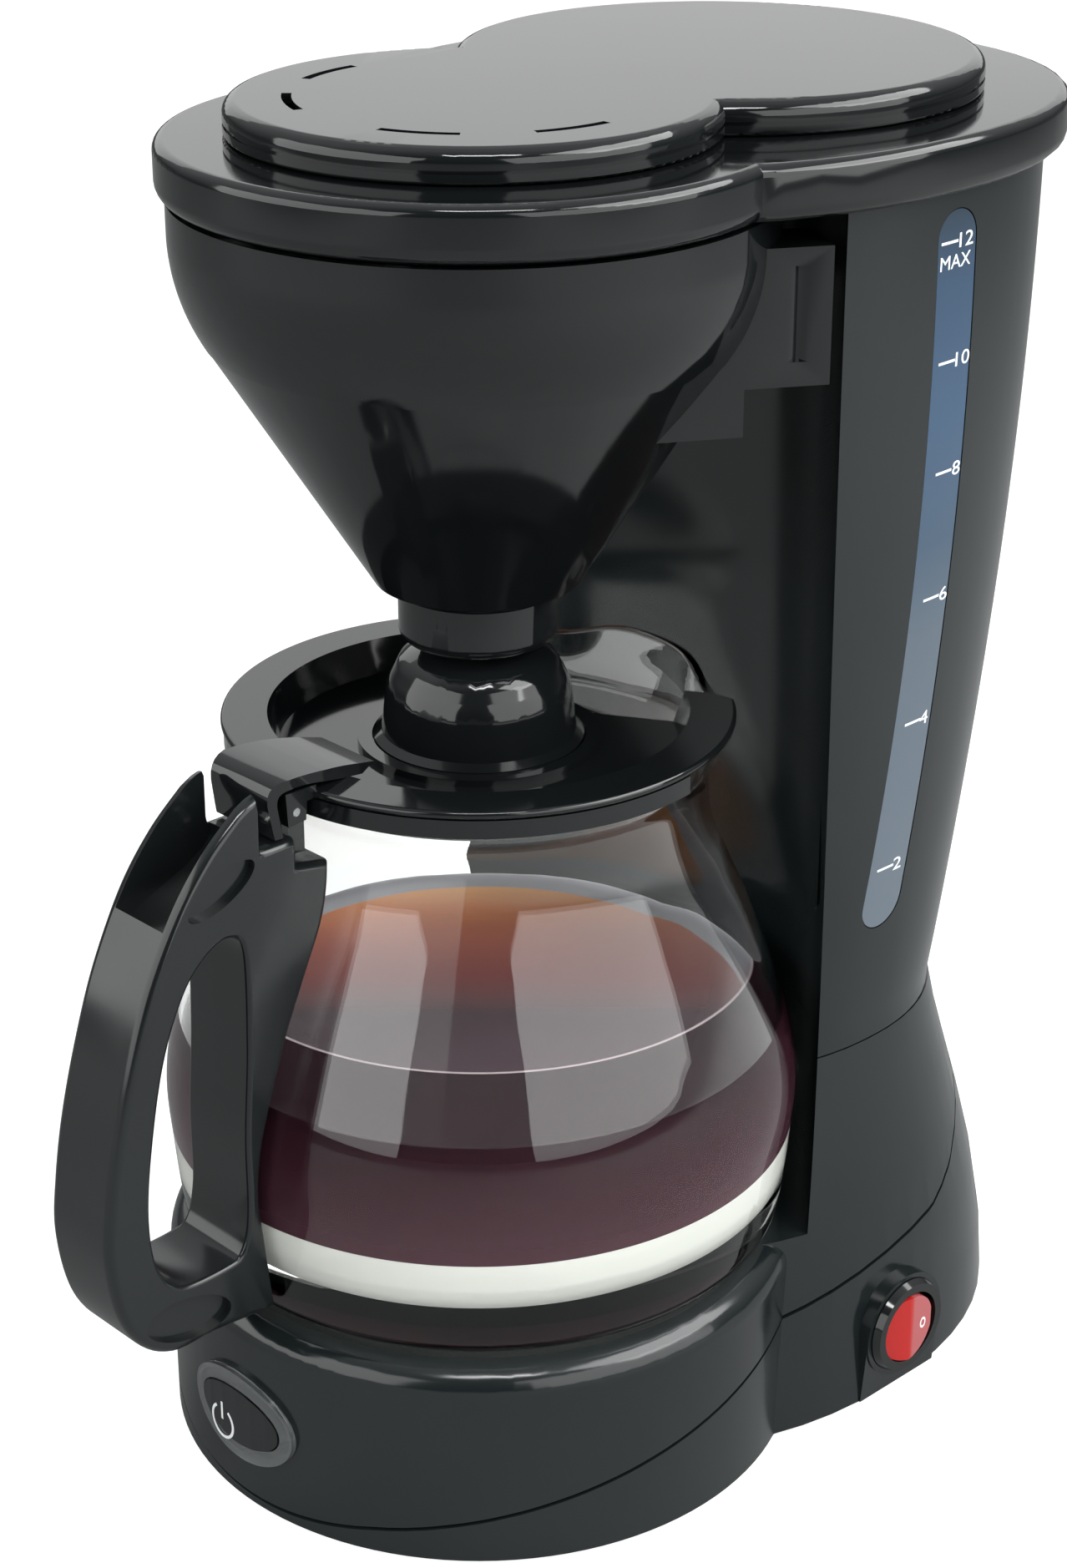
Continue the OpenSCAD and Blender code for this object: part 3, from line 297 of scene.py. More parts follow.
def blown_glass():
    """Borosilicate glass blown in a mould: clear, with slow thickness waves round the belly. Where
    the liquid wets the inside, light crosses from glass to water, so the surface all but vanishes.
    Lamps shine through it."""
    m, t, out = fresh("borosilicate_glass_blown")
    at = node(t, "Mapping", [(0, node(t, "TexCoord").outputs["Object"])], in_Scale=(1.0, 1.0, 1.6)).outputs[0]
    n = bump(t, grain(t, 34.0, 1.0, 0.3, at), 0.05)
    # index of glass against air, and of glass against water
    dry, wet = (node(t, "BsdfPrincipled", [("Normal", n)], in_Base_Color=tint("#fbfdfc"), in_Roughness=0.0,
                     in_IOR=index, in_Transmission_Weight=1.0) for index in (1.47, 1.103))
    z, r, _ = round_axis(t)
    low, high = WALL_MIDDLE[0][0], WALL_MIDDLE[-1][0]
    # a ramp over the height whose grey is the radius, with white for 100 mm
    wall = node(t, "ValToRGB", [(0, spread(t, z, 0.0, 1.0, low * 0.001, high * 0.001))])
    e = wall.color_ramp.elements
    e.remove(e[1])
    for height, radius in WALL_MIDDLE:
        share = (height - low) / (high - low)
        el = e.new(share) if share else e[0]
        el.position = share
        el.color = (radius * 0.01,) * 3 + (1.0,)
    middle = spread(t, wall.outputs[0], 0.0, 0.1)
    inside = node(t, "Math", [(0, r), (1, middle)], operation="LESS_THAN").outputs[0]
    inner = both(t, inside, above(t, z, INNER_FROM))
    soaked = both(t, inner, below(t, z, WET_TO))
    body = node(t, "MixShader", [(0, soaked), (1, dry.outputs[0]), (2, wet.outputs[0])])
    lets = node(t, "BsdfTransparent", in_0=tint("#f2f5f4"))
    clear = node(t, "MixShader", [(0, node(t, "LightPath").outputs["Is Shadow Ray"]), (1, body.outputs[0]),
                                  (2, lets.outputs[0])])
    # painted pale band: a matt ring round the inside of the heavy base, painted to stand in for the bright
    # backdrop seen through the thick glass there, so it shows pale through the wall
    ring = both(t, both(t, inner, below(t, z, PAINTED_BAND_TOP)), above(t, r, PAINTED_BAND_FROM))
    matt = node(t, "BsdfDiffuse", in_0=tint("#cfd0ca"), in_1=0.0)
    mix = node(t, "MixShader", [(0, ring), (1, clear.outputs[0]), (2, matt.outputs[0])])
    t.links.new(mix.outputs[0], out.inputs[0])
    return m


GLASS = blown_glass()


# Plan of the pool, in metres: unit vector from its front to its back, and the middle and radius
# # of the round part painted as lit from behind.
BACKWARDS = (-0.726, 0.687, 0.0)
PAINTED_GLOW_MIDDLE, PAINTED_GLOW_RADIUS = (-0.0242, 0.0229, 0.0), 0.07


def brewed_coffee():
    """Clear brown liquid with fines held in it, with light painted into the colour of its top: a painted
    amber glow where light would come through the back of the pool, darkening to the front, where a
    painted reflection of the black lid lies, and nearly black down the side. The last few millimetres
    at the back of the pool are painted pale, with a painted highlight on the wall above."""
    m, t, out = fresh("coffee_brewed")
    z, r, flat = round_axis(t)
    along = node(t, "VectorMath", [(0, flat)], operation="DOT_PRODUCT", in_1=BACKWARDS).outputs["Value"]
    off = node(t, "VectorMath", [(0, flat)], operation="DISTANCE", in_1=PAINTED_GLOW_MIDDLE).outputs["Value"]
    # painted amber glow of light coming through the back of the pool, darker towards the front
    painted_backlight_tone = ramp(t, spread(t, along, 0.0, 1.0, -0.037, 0.065),
                [(0.0, "#3a2a32"), (0.28, "#38292f"), (0.36, "#523033"), (0.48, "#6c2d2a"), (0.62, "#863f31"),
                 (0.75, "#9e5236"), (0.88, "#c0703c"), (1.0, "#e0a060")])
    side = ramp(t, spread(t, z, 0.0, 1.0, 0.066, LEVEL * 0.001),
                [(0.0, "#4a2c35"), (0.45, "#3c232b"), (0.8, "#2a141b"), (1.0, "#1f0e14")])
    # painted pale edge at the back, then a painted highlight on the wet wall above it
    painted_pale_edge = both(t, spread(t, r, 0.0, 1.0, 0.0642, 0.0650), spread(t, along, 0.0, 1.0, -0.005, 0.02))
    tone = blend(t, painted_pale_edge, painted_backlight_tone, tint("#9b989e"))
    wet = both(t, spread(t, r, 0.0, 1.0, 0.0708, 0.0722), spread(t, along, 0.0, 1.0, 0.005, 0.03))
    tone = blend(t, wet, tone, tint("#efeeec"))
    # painted reflection of the black lid darkens the front of the pool, with a fine painted highlight where
    # it begins
    front = spread(t, off, 0.0, 1.0, PAINTED_GLOW_RADIUS - 0.0002, PAINTED_GLOW_RADIUS + 0.0002)
    tone = blend(t, front, tone, tint("#1f0e14"))
    line = both(t, spread(t, off, 0.0, 1.0, PAINTED_GLOW_RADIUS - 0.0007, PAINTED_GLOW_RADIUS - 0.0002),
                spread(t, off, 1.0, 0.0, PAINTED_GLOW_RADIUS, PAINTED_GLOW_RADIUS + 0.0004))
    tone = blend(t, line, tone, tint("#b9a9ad"))
    top = spread(t, z, 0.0, 1.0, LEVEL * 0.001 - 0.0008, LEVEL * 0.001 - 0.0003)
    mirror = both(t, top, spread(t, front, 0.12, 0.0))
    tone = blend(t, top, side, tone)
    clear = node(t, "BsdfPrincipled", in_Base_Color=tint("#ffffff"), in_Roughness=0.0, in_IOR=1.333,
                 in_Transmission_Weight=1.0)
    fines = node(t, "BsdfPrincipled", [("Base Color", tone), ("Specular IOR Level", mirror)],
                 in_Roughness=0.05, in_IOR=1.333)
    mix = node(t, "MixShader", [(1, clear.outputs[0]), (2, fines.outputs[0])], in_0=0.92)
    soak = node(t, "VolumeAbsorption", in_Color=tint("#c8683a"), in_Density=34.0)
    t.links.new(mix.outputs[0], out.inputs[0])
    t.links.new(soak.outputs[0], out.inputs[1])
    return m


COFFEE = brewed_coffee()


def gauge_plastic():
    """Level window, clear polypropylene with a frosted back: greyer at the bottom, darker and bluer towards
    the top.
    """
    m, t, out = fresh("polypropylene_clear_frosted")
    z = node(t, "SeparateXYZ", [(0, node(t, "TexCoord").outputs["Object"])]).outputs[2]
    tone = ramp(t, spread(t, z, 0.0, 1.0, 0.13, 0.305),
                [(0.0, "#66717c"), (0.42, "#5a6672"), (0.55, "#42566a"), (0.72, "#3c5570"), (0.9, "#334a63"),
                 (1.0, "#2a3844")])
    s = node(t, "BsdfPrincipled", [("Base Color", tone), ("Roughness", spread(t, grain(t, 2.0), 0.16, 0.26))],
             in_IOR=1.49, in_Transmission_Weight=0.12)
    t.links.new(s.outputs[0], out.inputs[0])
    return m


GAUGE = gauge_plastic()


def smoky():
    """Smoke-tinted polycarbonate of the ring round the button: mostly clear, with a hard shine."""
    m, t, out = fresh("polycarbonate_smoke_clear")
    s = node(t, "BsdfPrincipled", [("Roughness", spread(t, grain(t, 3.0), 0.04, 0.09))],
             in_Base_Color=tint("#8d9192"), in_IOR=1.585, in_Transmission_Weight=0.75)
    t.links.new(s.outputs[0], out.inputs[0])
    return m


SMOKE = smoky()


def rocker_red():
    """Transparent red polycarbonate over a neon lamp: the lamp's half glows through it."""
    m, t, out = fresh("polycarbonate_red_neon")
    y = node(t, "SeparateXYZ", [(0, node(t, "TexCoord").outputs["Object"])]).outputs[1]
    start, end = 0.0540, 0.0552  # metres along y over which the halves blend
    half = spread(t, y, 0.0, 1.0, start, end)
    tone = ramp(t, half, [(0.0, "#a81c19"), (1.0, "#a85658")])
    s = node(t, "BsdfPrincipled", [("Base Color", tone), ("Emission Strength", spread(t, half, 0.08, 0.03))],
             in_Roughness=0.14, in_IOR=1.585, in_Emission_Color=tint("#e0201a"))
    t.links.new(s.outputs[0], out.inputs[0])
    return m


ROCKER = rocker_red()


def ink():
    """White pad-printing ink: thin, slightly broken up."""
    m, t, out = fresh("ink_white_pad_printed")
    b = ramp(t, grain(t, 1.0, 4.0), [(0.3, "#dfe3e4"), (0.7, "#f1f3f3")])
    s = node(t, "BsdfPrincipled", [("Base Color", b), ("Roughness", spread(t, grain(t, 0.6), 0.4, 0.55))],
             in_IOR=1.5)
    t.links.new(s.outputs[0], out.inputs[0])
    return m


INK = ink()
# Glass-fibre epoxy of the control board: green, with a slight weave sheen.
BOARD = moulded("epoxy_glass_board", "#1f4a2c", "#2a5a38", (0.3, 0.4), 0.8, 0.002, in_IOR=1.55)

# ------------------------------------------------------------------ mesh helpers


def shade(mesh, angle):
    """Smooth shading, with edges over angle degrees kept sharp."""
    mesh.shade_smooth()
    mesh.set_sharp_from_angle(angle=math.radians(angle))


def mesh_piece(name, body, material, verts, faces, smooth_angle=40.0):
    """Puts a finished surface into a mesh: doubles merged, normals outwards, edges sharper than
    smooth_angle kept sharp."""
    me = bpy.data.meshes.new(name)
    me.from_pydata(np.asarray(verts, float).tolist(), [], [list(map(int, f)) for f in faces])
    b = bmesh.new()
    b.from_mesh(me)
    bmesh.ops.remove_doubles(b, verts=b.verts, dist=2e-6)
    bmesh.ops.dissolve_degenerate(b, edges=b.edges, dist=1e-6)
    bmesh.ops.recalc_face_normals(b, faces=b.faces)
    b.to_mesh(me)
    b.free()
    shade(me, smooth_angle)
    o = bpy.data.objects.new(name, me)
    bpy.context.scene.collection.objects.link(o)
    me.materials.append(material)
    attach(o, body)
    return o


def skin(grid, close_v=False):
    """Quads over an (m, n) grid of points: v runs down the rows, and u along them, where each
    row closes on itself. Returns the points in metres and the faces."""
    m, n = grid.shape[:2]
    idx = np.arange(m * n).reshape(m, n)
    idx = np.concatenate([idx, idx[:, :1]], axis=1)
    if close_v:
        idx = np.concatenate([idx, idx[:1]], axis=0)
    quads = np.stack([idx[:-1, :-1], idx[:-1, 1:], idx[1:, 1:], idx[1:, :-1]], -1).reshape(-1, 4)
    return metres(grid), quads


def turned(profile, n):
    """Turned surface: each (radius, height) of the profile carried round the axis in n steps,
    with x = r cos a and y = r sin a."""
    p = np.asarray(profile, float)
    a = np.radians(360.0 * np.arange(n) / n)
    x = p[:, 0, None] * np.cos(a)
    y = p[:, 0, None] * np.sin(a)
    z = np.repeat(p[:, 1, None], n, 1)
    return np.stack([x, y, z], -1)


def through(points, k=8, closed=False):
    """Catmull-Rom curve through the points: on each span
    0.5 (2b + (c-a) t + (2a-5b+4c-d) t^2 + (3b-a-3c+d) t^3)."""
    p = np.asarray(points, float)
    if closed:
        q = np.concatenate([p[-1:], p, p[:2]])
    else:
        q = np.concatenate([p[:1], p, p[-1:]])
    a, b, c, d = q[:-3], q[1:-2], q[2:-1], q[3:]
    t = (np.arange(k) / k)[None, :, None]
    a, b, c, d = (v[:, None, :] for v in (a, b, c, d))
    out = 0.5 * (2 * b + (c - a) * t + (2 * a - 5 * b + 4 * c - d) * t ** 2
                 + (3 * b - a - 3 * c + d) * t ** 3)
    out = out.reshape(-1, p.shape[1])
    return out if closed else np.concatenate([out, p[-1:]])


def tube(path, r, sides=10):
    """Round wire of radius r along a path: at each point the ring r (n cos b + m sin b), where n
    and m are kept square to the path."""
    p = np.asarray(path, float)
    t = np.gradient(p, axis=0)
    t /= np.linalg.norm(t, axis=1)[:, None]
    ref = np.where(np.abs(t[:, 2:3]) > 0.9, np.array([[1.0, 0, 0]]), np.array([[0, 0, 1.0]]))
    n = np.cross(t, ref)
    n /= np.linalg.norm(n, axis=1)[:, None]
    m = np.cross(t, n)
    b = np.linspace(0, 2 * math.pi, sides, endpoint=False)
    cos, sin = np.cos(b)[None, :, None], np.sin(b)[None, :, None]
    return p[:, None, :] + r * (n[:, None, :] * cos + m[:, None, :] * sin)


def capped(grid):
    """The grid with its first and last rows drawn in to their middles, so that it closes."""
    ends = [np.repeat(grid[i].mean(0)[None, None], grid.shape[1], 1) for i in (0, -1)]
    return np.concatenate([ends[0], grid, ends[1]])


def weighted(o):
    """Normals weighted by face area, so that flat areas stay flat beside small roundings."""
    o.modifiers.new("weighted", "WEIGHTED_NORMAL").keep_sharp = True


def refined(name, material):
    """A moulded node as one welded skin: loose triangles merged, and normals weighted by area."""
    src = frame["nodes"][name]
    me = src.data.copy()
    b = bmesh.new()
    b.from_mesh(me)
    bmesh.ops.remove_doubles(b, verts=b.verts, dist=5e-6)
    bmesh.ops.dissolve_degenerate(b, edges=b.edges, dist=5e-6)
    b.to_mesh(me)
    b.free()
    if me.has_custom_normals:
        me.attributes.remove(me.attributes["custom_normal"])
    shade(me, 38)
    me.materials.clear()
    me.materials.append(material)
    o = bpy.data.objects.new(name + "_shell", me)
    bpy.context.scene.collection.objects.link(o)
    weighted(o)
    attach(o, src["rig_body"])
    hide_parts(name)


# ------------------------------------------------------------------ shells

LOOK = {
    "base_housing": ABS_SATIN, "base_tray": ABS_SATIN, "tower_housing": ABS_SATIN,
    "rubber_feet": RUBBER, "base_screws": STEEL, "warming_plate": COATING,
    "plate_seal": SILICONE_RED, "heating_element": ALUMINIUM, "element_bracket": STEEL,
    "bracket_nut": STEEL, "thermostat": CERAMIC, "cold_hose": SILICONE_CLEAR,
    "hot_hose": SILICONE_CLEAR, "check_valve": PP_NATURAL, "hose_clips": STEEL,
    "tank_floor": PP_GREY, "level_window": GAUGE, "riser_tube": PP_NATURAL, "spray_head": PP_BLACK,
    "top_deck": ABS_GLOSS, "lid": ABS_GLOSS, "lid_hinge_pin": STEEL, "filter_holder": ABS_GLOSS,
    "holder_hinge_pin": STEEL, "filter_basket": PP_BLACK, "drip_stop": PP_NATURAL,
    "drip_stop_seal": SILICONE_RED, "drip_stop_spring": STEEL, "carafe_glass": GLASS,
    "carafe_band": ABS_GLOSS, "carafe_handle": NYLON, "handle_screws": STEEL,
    "carafe_lid": ABS_GLOSS, "carafe_lid_pin": STEEL, "switch_bezel": ABS_GLOSS,
    "switch_body": PP_BLACK, "switch_rocker": ROCKER, "button_bezel": SMOKE,
    "power_button": ABS_GLOSS, "button_spring": STEEL, "control_board": BOARD, "cord_gland": PP_BLACK,
}
# Pieces with a surface of their own, made further down.
OWN = {"carafe_glass", "tower_housing", "level_window", "carafe_handle", "drip_stop_spring",
       "button_spring"}

for name, material in LOOK.items():
    if name not in OWN:
        refined(name, material)

# ------------------------------------------------------------------ tower

# Plan of the tower: exponent of its superellipse, how far its middle lies behind the brewing
# axis, and the radius of the recess round the carafe, in millimetres.
SQUARENESS = 2.2
TOWER_Y = 70
RECESS_R = 82.0
# Where the waist is, and the height over which the flare grows; half width and half depth at the
# waist, and what the flare adds to them.
WAIST_Z, FLARE_HEIGHT = 101.0, 208.0
WAIST, FLARE = (63.7, 58.1), (10.0, 23.0)
# Level window: middle height, half height between its round ends, and their radius.
WINDOW_Z, WINDOW_HALF, WINDOW_R = 216.4, 80.7, 6.9


def power(v, e):
    """v to the power e, with its sign kept."""
    return np.sign(v) * np.abs(v) ** e


def tower_axes(z):
    """Half width and half depth of the tower at height z: the waist plus a flare that grows as
    sin(90 deg * ((z - 101) / 208)^0.93)."""
    up = np.clip((np.asarray(z, float) - WAIST_Z) / FLARE_HEIGHT, 0, 1)
    k = np.sin(math.pi / 2 * up ** 0.93)
    return WAIST[0] + FLARE[0] * k, WAIST[1] + FLARE[1] * k


def tower_outline(z, inset, n_out=150, n_in=90):
    """Plan of the tower at each height z: the superellipse |x/a|^2.2 + |(y-70)/b|^2.2 = 1 round the
    back, from where it leaves the circle of radius 82 + inset, then that circle back."""
    z = np.asarray(z, float)
    a, b = tower_axes(z)
    a, b = a - inset, b - inset
    low, high = np.full_like(z, -math.pi / 2), np.full_like(z, math.pi / 2)
    rad = RECESS_R + inset
    for _ in range(40):
        t = 0.5 * (low + high)
        x = a * power(np.cos(t), 2 / SQUARENESS)
        y = TOWER_Y + b * power(np.sin(t), 2 / SQUARENESS)
        out = x * x + y * y > rad * rad
        high, low = np.where(out, t, high), np.where(out, low, t)
    t0 = 0.5 * (low + high)
    s = np.linspace(0, 1, n_out)
    s = s + 0.06 * np.sin(2 * math.pi * s) / (2 * math.pi)
    t = t0[:, None] + (math.pi - 2 * t0)[:, None] * s
    x = a[:, None] * power(np.cos(t), 2 / SQUARENESS)
    y = TOWER_Y + b[:, None] * power(np.sin(t), 2 / SQUARENESS)
    f0 = np.arctan2(y[:, 0], x[:, 0])
    f = f0[:, None] + (math.pi - 2 * f0)[:, None] * np.linspace(1, 0, n_in)[1:-1]
    x = np.concatenate([x, rad * np.cos(f)], 1)
    y = np.concatenate([y, rad * np.sin(f)], 1)
    return np.stack([x, y, np.repeat(z[:, None], x.shape[1], 1)], -1)


def tower_x(y, z, inset=0.0):
    """Half width of the tower's skin at depth y and height z."""
    a, b = tower_axes(z)
    q = np.clip(1 - np.abs((y - TOWER_Y) / (b - inset)) ** SQUARENESS, 0, 1)
    return (a - inset) * q ** (1 / SQUARENESS)


def band_y(z):
    """Middle of the level window: leans back 1.8 degrees and bows 3 mm."""
    return 72.4 + 0.0314 * (z - 216) + 3 * (1 - ((z - 220) / 80) ** 2)


def band_half(z, grow):
    """Half width of the level window at height z, its radius + grow, with round ends."""
    h = WINDOW_R + grow
    d = np.clip(np.maximum(WINDOW_Z - WINDOW_HALF - z, z - WINDOW_Z - WINDOW_HALF), 0, h)
    return np.sqrt(h * h - d * d)


def cut(target, cutter):
    """Takes the cutter's volume out of the target and leaves one plain mesh."""
    m = target.modifiers.new("opening", "BOOLEAN")
    m.operation, m.solver, m.object = "DIFFERENCE", "EXACT", cutter
    bpy.context.view_layer.update()
    me = bpy.data.meshes.new_from_object(target.evaluated_get(bpy.context.evaluated_depsgraph_get()))
    target.modifiers.clear()
    old = target.data
    me.name = old.name
    target.data = me
    bpy.data.meshes.remove(old)
    bpy.data.objects.remove(cutter)


def plain(name, verts, faces):
    """A helper mesh that only cuts."""
    me = bpy.data.meshes.new(name)
    me.from_pydata(np.asarray(verts).tolist(), [], [list(map(int, f)) for f in faces])
    b = bmesh.new()
    b.from_mesh(me)
    bmesh.ops.remove_doubles(b, verts=b.verts, dist=1e-6)
    bmesh.ops.recalc_face_normals(b, faces=b.faces)
    b.to_mesh(me)
    b.free()
    o = bpy.data.objects.new(name, me)
    bpy.context.scene.collection.objects.link(o)
    return o


def prism(outline, x0, x1):
    """Closed straight prism along x over a (y, z) outline, from x0 to x1."""
    o = np.asarray(outline, float)
    rows = [np.column_stack([np.full(len(o), x), o]) for x in (x0, x0, x1, x1)]
    rows[0] = np.repeat(rows[0].mean(0)[None], len(o), 0)
    rows[3] = np.repeat(rows[3].mean(0)[None], len(o), 0)
    return skin(np.array(rows))


def opened(o, material, angle, *cutters):
    """Cuts the openings into a finished piece, then gives it back its material and shading."""
    for c in cutters:
        cut(o, plain("cutter", *c))
    o.data.materials.clear()
    o.data.materials.append(material)
    shade(o.data, angle)
    weighted(o)


def band_heights(grow, n):
    """n heights over the level window, closer together towards its round ends."""
    s = np.sin(np.linspace(-math.pi / 2, math.pi / 2, n))
    return WINDOW_Z + (WINDOW_HALF + WINDOW_R + grow) * s


def window_prism():
    """Prism over the level window's outline, right through the tower's side wall."""
    z = band_heights(0.0, 80)
    h = band_half(z, 0.0)
    y = np.concatenate([band_y(z) + h, (band_y(z) - h)[1:-1][::-1]])
    return prism(np.column_stack([y, np.concatenate([z, z[1:-1][::-1]])]), 50.0, 90.0)


def tower():
    """Moulded shell: the outer plan from the seam up to the deck, over the top edge, down inside
    it 2.5 mm in, and closed below; the level window's opening is cut through the right side."""
    seam, deck, wall = 97.15, 317.2, 2.5
    z = np.linspace(seam, deck, 64)
    outer, inner = tower_outline(z, 0.0), tower_outline(z[::-1], wall)
    v, f = skin(np.concatenate([outer, inner]), close_v=True)
    o = mesh_piece("tower_shell", "housing", ABS_SATIN, v, f, 40)
    opened(o, ABS_SATIN, 40, window_prism())
    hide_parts("tower_housing")


def hinge_ear():
    """Lower ear of the filter holder's hinge: 5.5 mm round the pin, drawn out 14 mm towards the
    tower, with a blind bore for the pin."""
    x0, y0, reach_r, reach_out, bore = -60, 45, 5.5, 14.0, 2.05
    under, top, bottom = 256.0, 264.0, 258.2
    a = np.linspace(0, 2 * math.pi, 48, endpoint=False)
    turn = a - math.radians(143.13)
    out = np.minimum(reach_out / np.maximum(np.cos(turn), 1e-3),
                     reach_r / np.maximum(np.abs(np.sin(turn)), 1e-3))
    reach = np.where(np.cos(turn) > 0, out, reach_r)
    profile = ((0 * a, under), (reach, under), (reach, top), (bore, top), (bore, bottom), (0 * a, bottom))
    rows = [np.column_stack([x0 + r * np.cos(a), y0 + r * np.sin(a), np.full(48, h)]) for r, h in profile]
    v, f = skin(np.array(rows, float))
    e = mesh_piece("tower_hinge_ear", "housing", ABS_SATIN, v, f, 40)
    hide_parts("tower_housing")


def level_window():
    """Window pane: the tower's own skin 0.15 mm further in, over a band with round ends, and a
    wider flange behind the wall."""
    parts, faces, start = [], [], 0
    # growth of the outline, and depth of the front and back behind the tower's skin
    for grow, front, back in ((-0.25, 0.15, 2.75), (3.0, 2.7, 4.3)):
        z = band_heights(grow, 90)
        h = band_half(z, grow)
        s = np.linspace(-1, 1, 13)
        y = band_y(z)[:, None] + h[:, None] * s
        zz = np.repeat(z[:, None], 13, 1)
        face = np.stack([tower_x(y, zz, front), y, zz], -1)
        rear = np.stack([tower_x(y, zz, back), y, zz], -1)[:, ::-1]
        v, f = skin(np.concatenate([face, rear], 1))
        parts.append(v)
        faces.append(f + start)
        start += len(v)
    o = mesh_piece("level_window_pane", "housing", GAUGE, np.concatenate(parts),
                   np.concatenate(faces), 50)
    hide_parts("level_window")


tower()
hinge_ear()
level_window()

# ------------------------------------------------------------------ carafe glass and coffee

# Outside of the glass, (radius, height) from the foot to the rim, and the height from which the
# inside follows it.
GLASS_OUT = through([[69.5, 54.3], [73.2, 57.5], [74.6, 64], [76, 78], [76.9, 92], [75.2, 104],
                     [71.6, 116], [66.6, 130], [60.6, 144], [56.2, 154], [54.2, 163], [54.1, 172],
                     [56.4, 178], [57.3, 183.4]], 6)
WALL_FROM = 76


def flared(grid):
    """Pulls the neck out to the pouring lip at the back: outwards by w k^1.5 2 mm and upwards by
    w k 3.9 mm, where w = exp(-((a-90)/20)^4) round the axis and k runs from 0 at z 173 to 1 at the
    rim."""
    a = np.degrees(np.arctan2(grid[..., 1], grid[..., 0]))
    w = np.exp(-((a - 90.0) / 20.0) ** 4)
    k = np.clip((grid[..., 2] - 173.0) / 11.0, 0, 1)
    r = np.hypot(grid[..., 0], grid[..., 1])
    g = (r + w * k ** 1.5 * 2.0) / np.maximum(r, 1e-6)
    out = grid.copy()
    out[..., 0] *= g
    out[..., 1] *= g
    out[..., 2] += w * k * 3.9
    return out


def glass_radius(z):
    """Radius of the outside of the glass at height z."""
    return np.interp(z, GLASS_OUT[:, 1], GLASS_OUT[:, 0])


# Inside of the heavy base, from the middle out to the wall.
BASE_CURVE = through([[0.0, 65.2], [30.0, 65.2], [54.0, 65.2], [60.0, 65.4], [65.5, 66.5], [69.8, 69.2],
                      [72.2, 72.6], [73.1, 75.4]], 5)


def carafe_glass():
    """Turned wall: the outside curve from the foot to the rim, a rounded rim, and the same curve
    2.2 mm inside it down to the heavy base's floor, then flared at the back."""
    inner = GLASS_OUT[GLASS_OUT[:, 1] > WALL_FROM][::-1] - (WALL, 0)
    rim = [[57.2, 184.0], [56.2, 184.35], [55.2, 183.9]]
    foot = [[0.0, 55.4], [40.0, 55.4], [57.0, 55.3], [60.5, 54.7], [63.0, 54.3], [66.5, 54.1]]
    prof = np.concatenate([foot, GLASS_OUT, rim, inner, BASE_CURVE[::-1]])
    v, f = skin(flared(turned(prof, 240)))
    o = mesh_piece("carafe_glass_wall", "carafe", GLASS, v, f, 60)
    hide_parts("carafe_glass")


carafe_glass()


def coffee():
    """Liquid that fills the carafe to its level: the inside curve of the glass 0.06 mm clear of
    it, and a flat top with a meniscus that climbs 1.2 mm over the last 3 mm to the wall."""
    room, climb = 0.06, 1.2
    z = np.linspace(78.0, LEVEL + climb, 44)
    side = np.stack([glass_radius(z) - WALL - room, z], -1)
    n = len(BASE_CURVE)
    low = BASE_CURVE + np.stack([-0.05 * np.linspace(0, 1, n), room * np.ones(n)], -1)
    r_top = side[-1, 0]
    d = np.array([0.25, 0.6, 1.1, 1.8, 2.8, 5.0])
    men = np.stack([r_top - d, LEVEL + climb * np.exp(-d / 0.8)], -1)
    top = [[r_top - 20, LEVEL], [20.0, LEVEL], [0.0, LEVEL]]
    v, f = skin(turned(np.concatenate([low, side, men, top]), 192))
    mesh_piece("coffee", "carafe", COFFEE, v, f, 50)


coffee()

# ------------------------------------------------------------------ handle and springs

# Side view of the handle, (y, z): its outside from the foot up to the knuckle, and its opening.
HANDLE_OUT = [[-78, 59.5], [-92, 60.6], [-104, 60.6], [-112.5, 66], [-118, 76], [-120.5, 91],
              [-119.4, 104], [-116.6, 119], [-111.8, 136], [-105.6, 153], [-97, 169], [-88, 180],
              [-79, 187.6]]
HANDLE_GAP = [[-88, 76.8], [-101, 77.2], [-107, 84], [-108.8, 96], [-107.4, 112], [-102.8, 134],
              [-96.5, 149], [-90, 156.4], [-83.5, 158.6], [-79.6, 153.4], [-79.6, 130], [-81.2, 107],
              [-81.4, 88], [-83.5, 79]]


def along(curve, n):
    """n points evenly spaced along a polyline."""
    d = np.concatenate([[0], np.cumsum(np.linalg.norm(np.diff(curve, axis=0), axis=1))])
    s = np.linspace(0, d[-1], n)
    return np.stack([np.interp(s, d, curve[:, i]) for i in range(2)], -1)


def nearest(curve, point):
    """Index of the curve's point that lies closest."""
    return int(np.argmin(np.linalg.norm(curve - np.asarray(point), axis=1)))


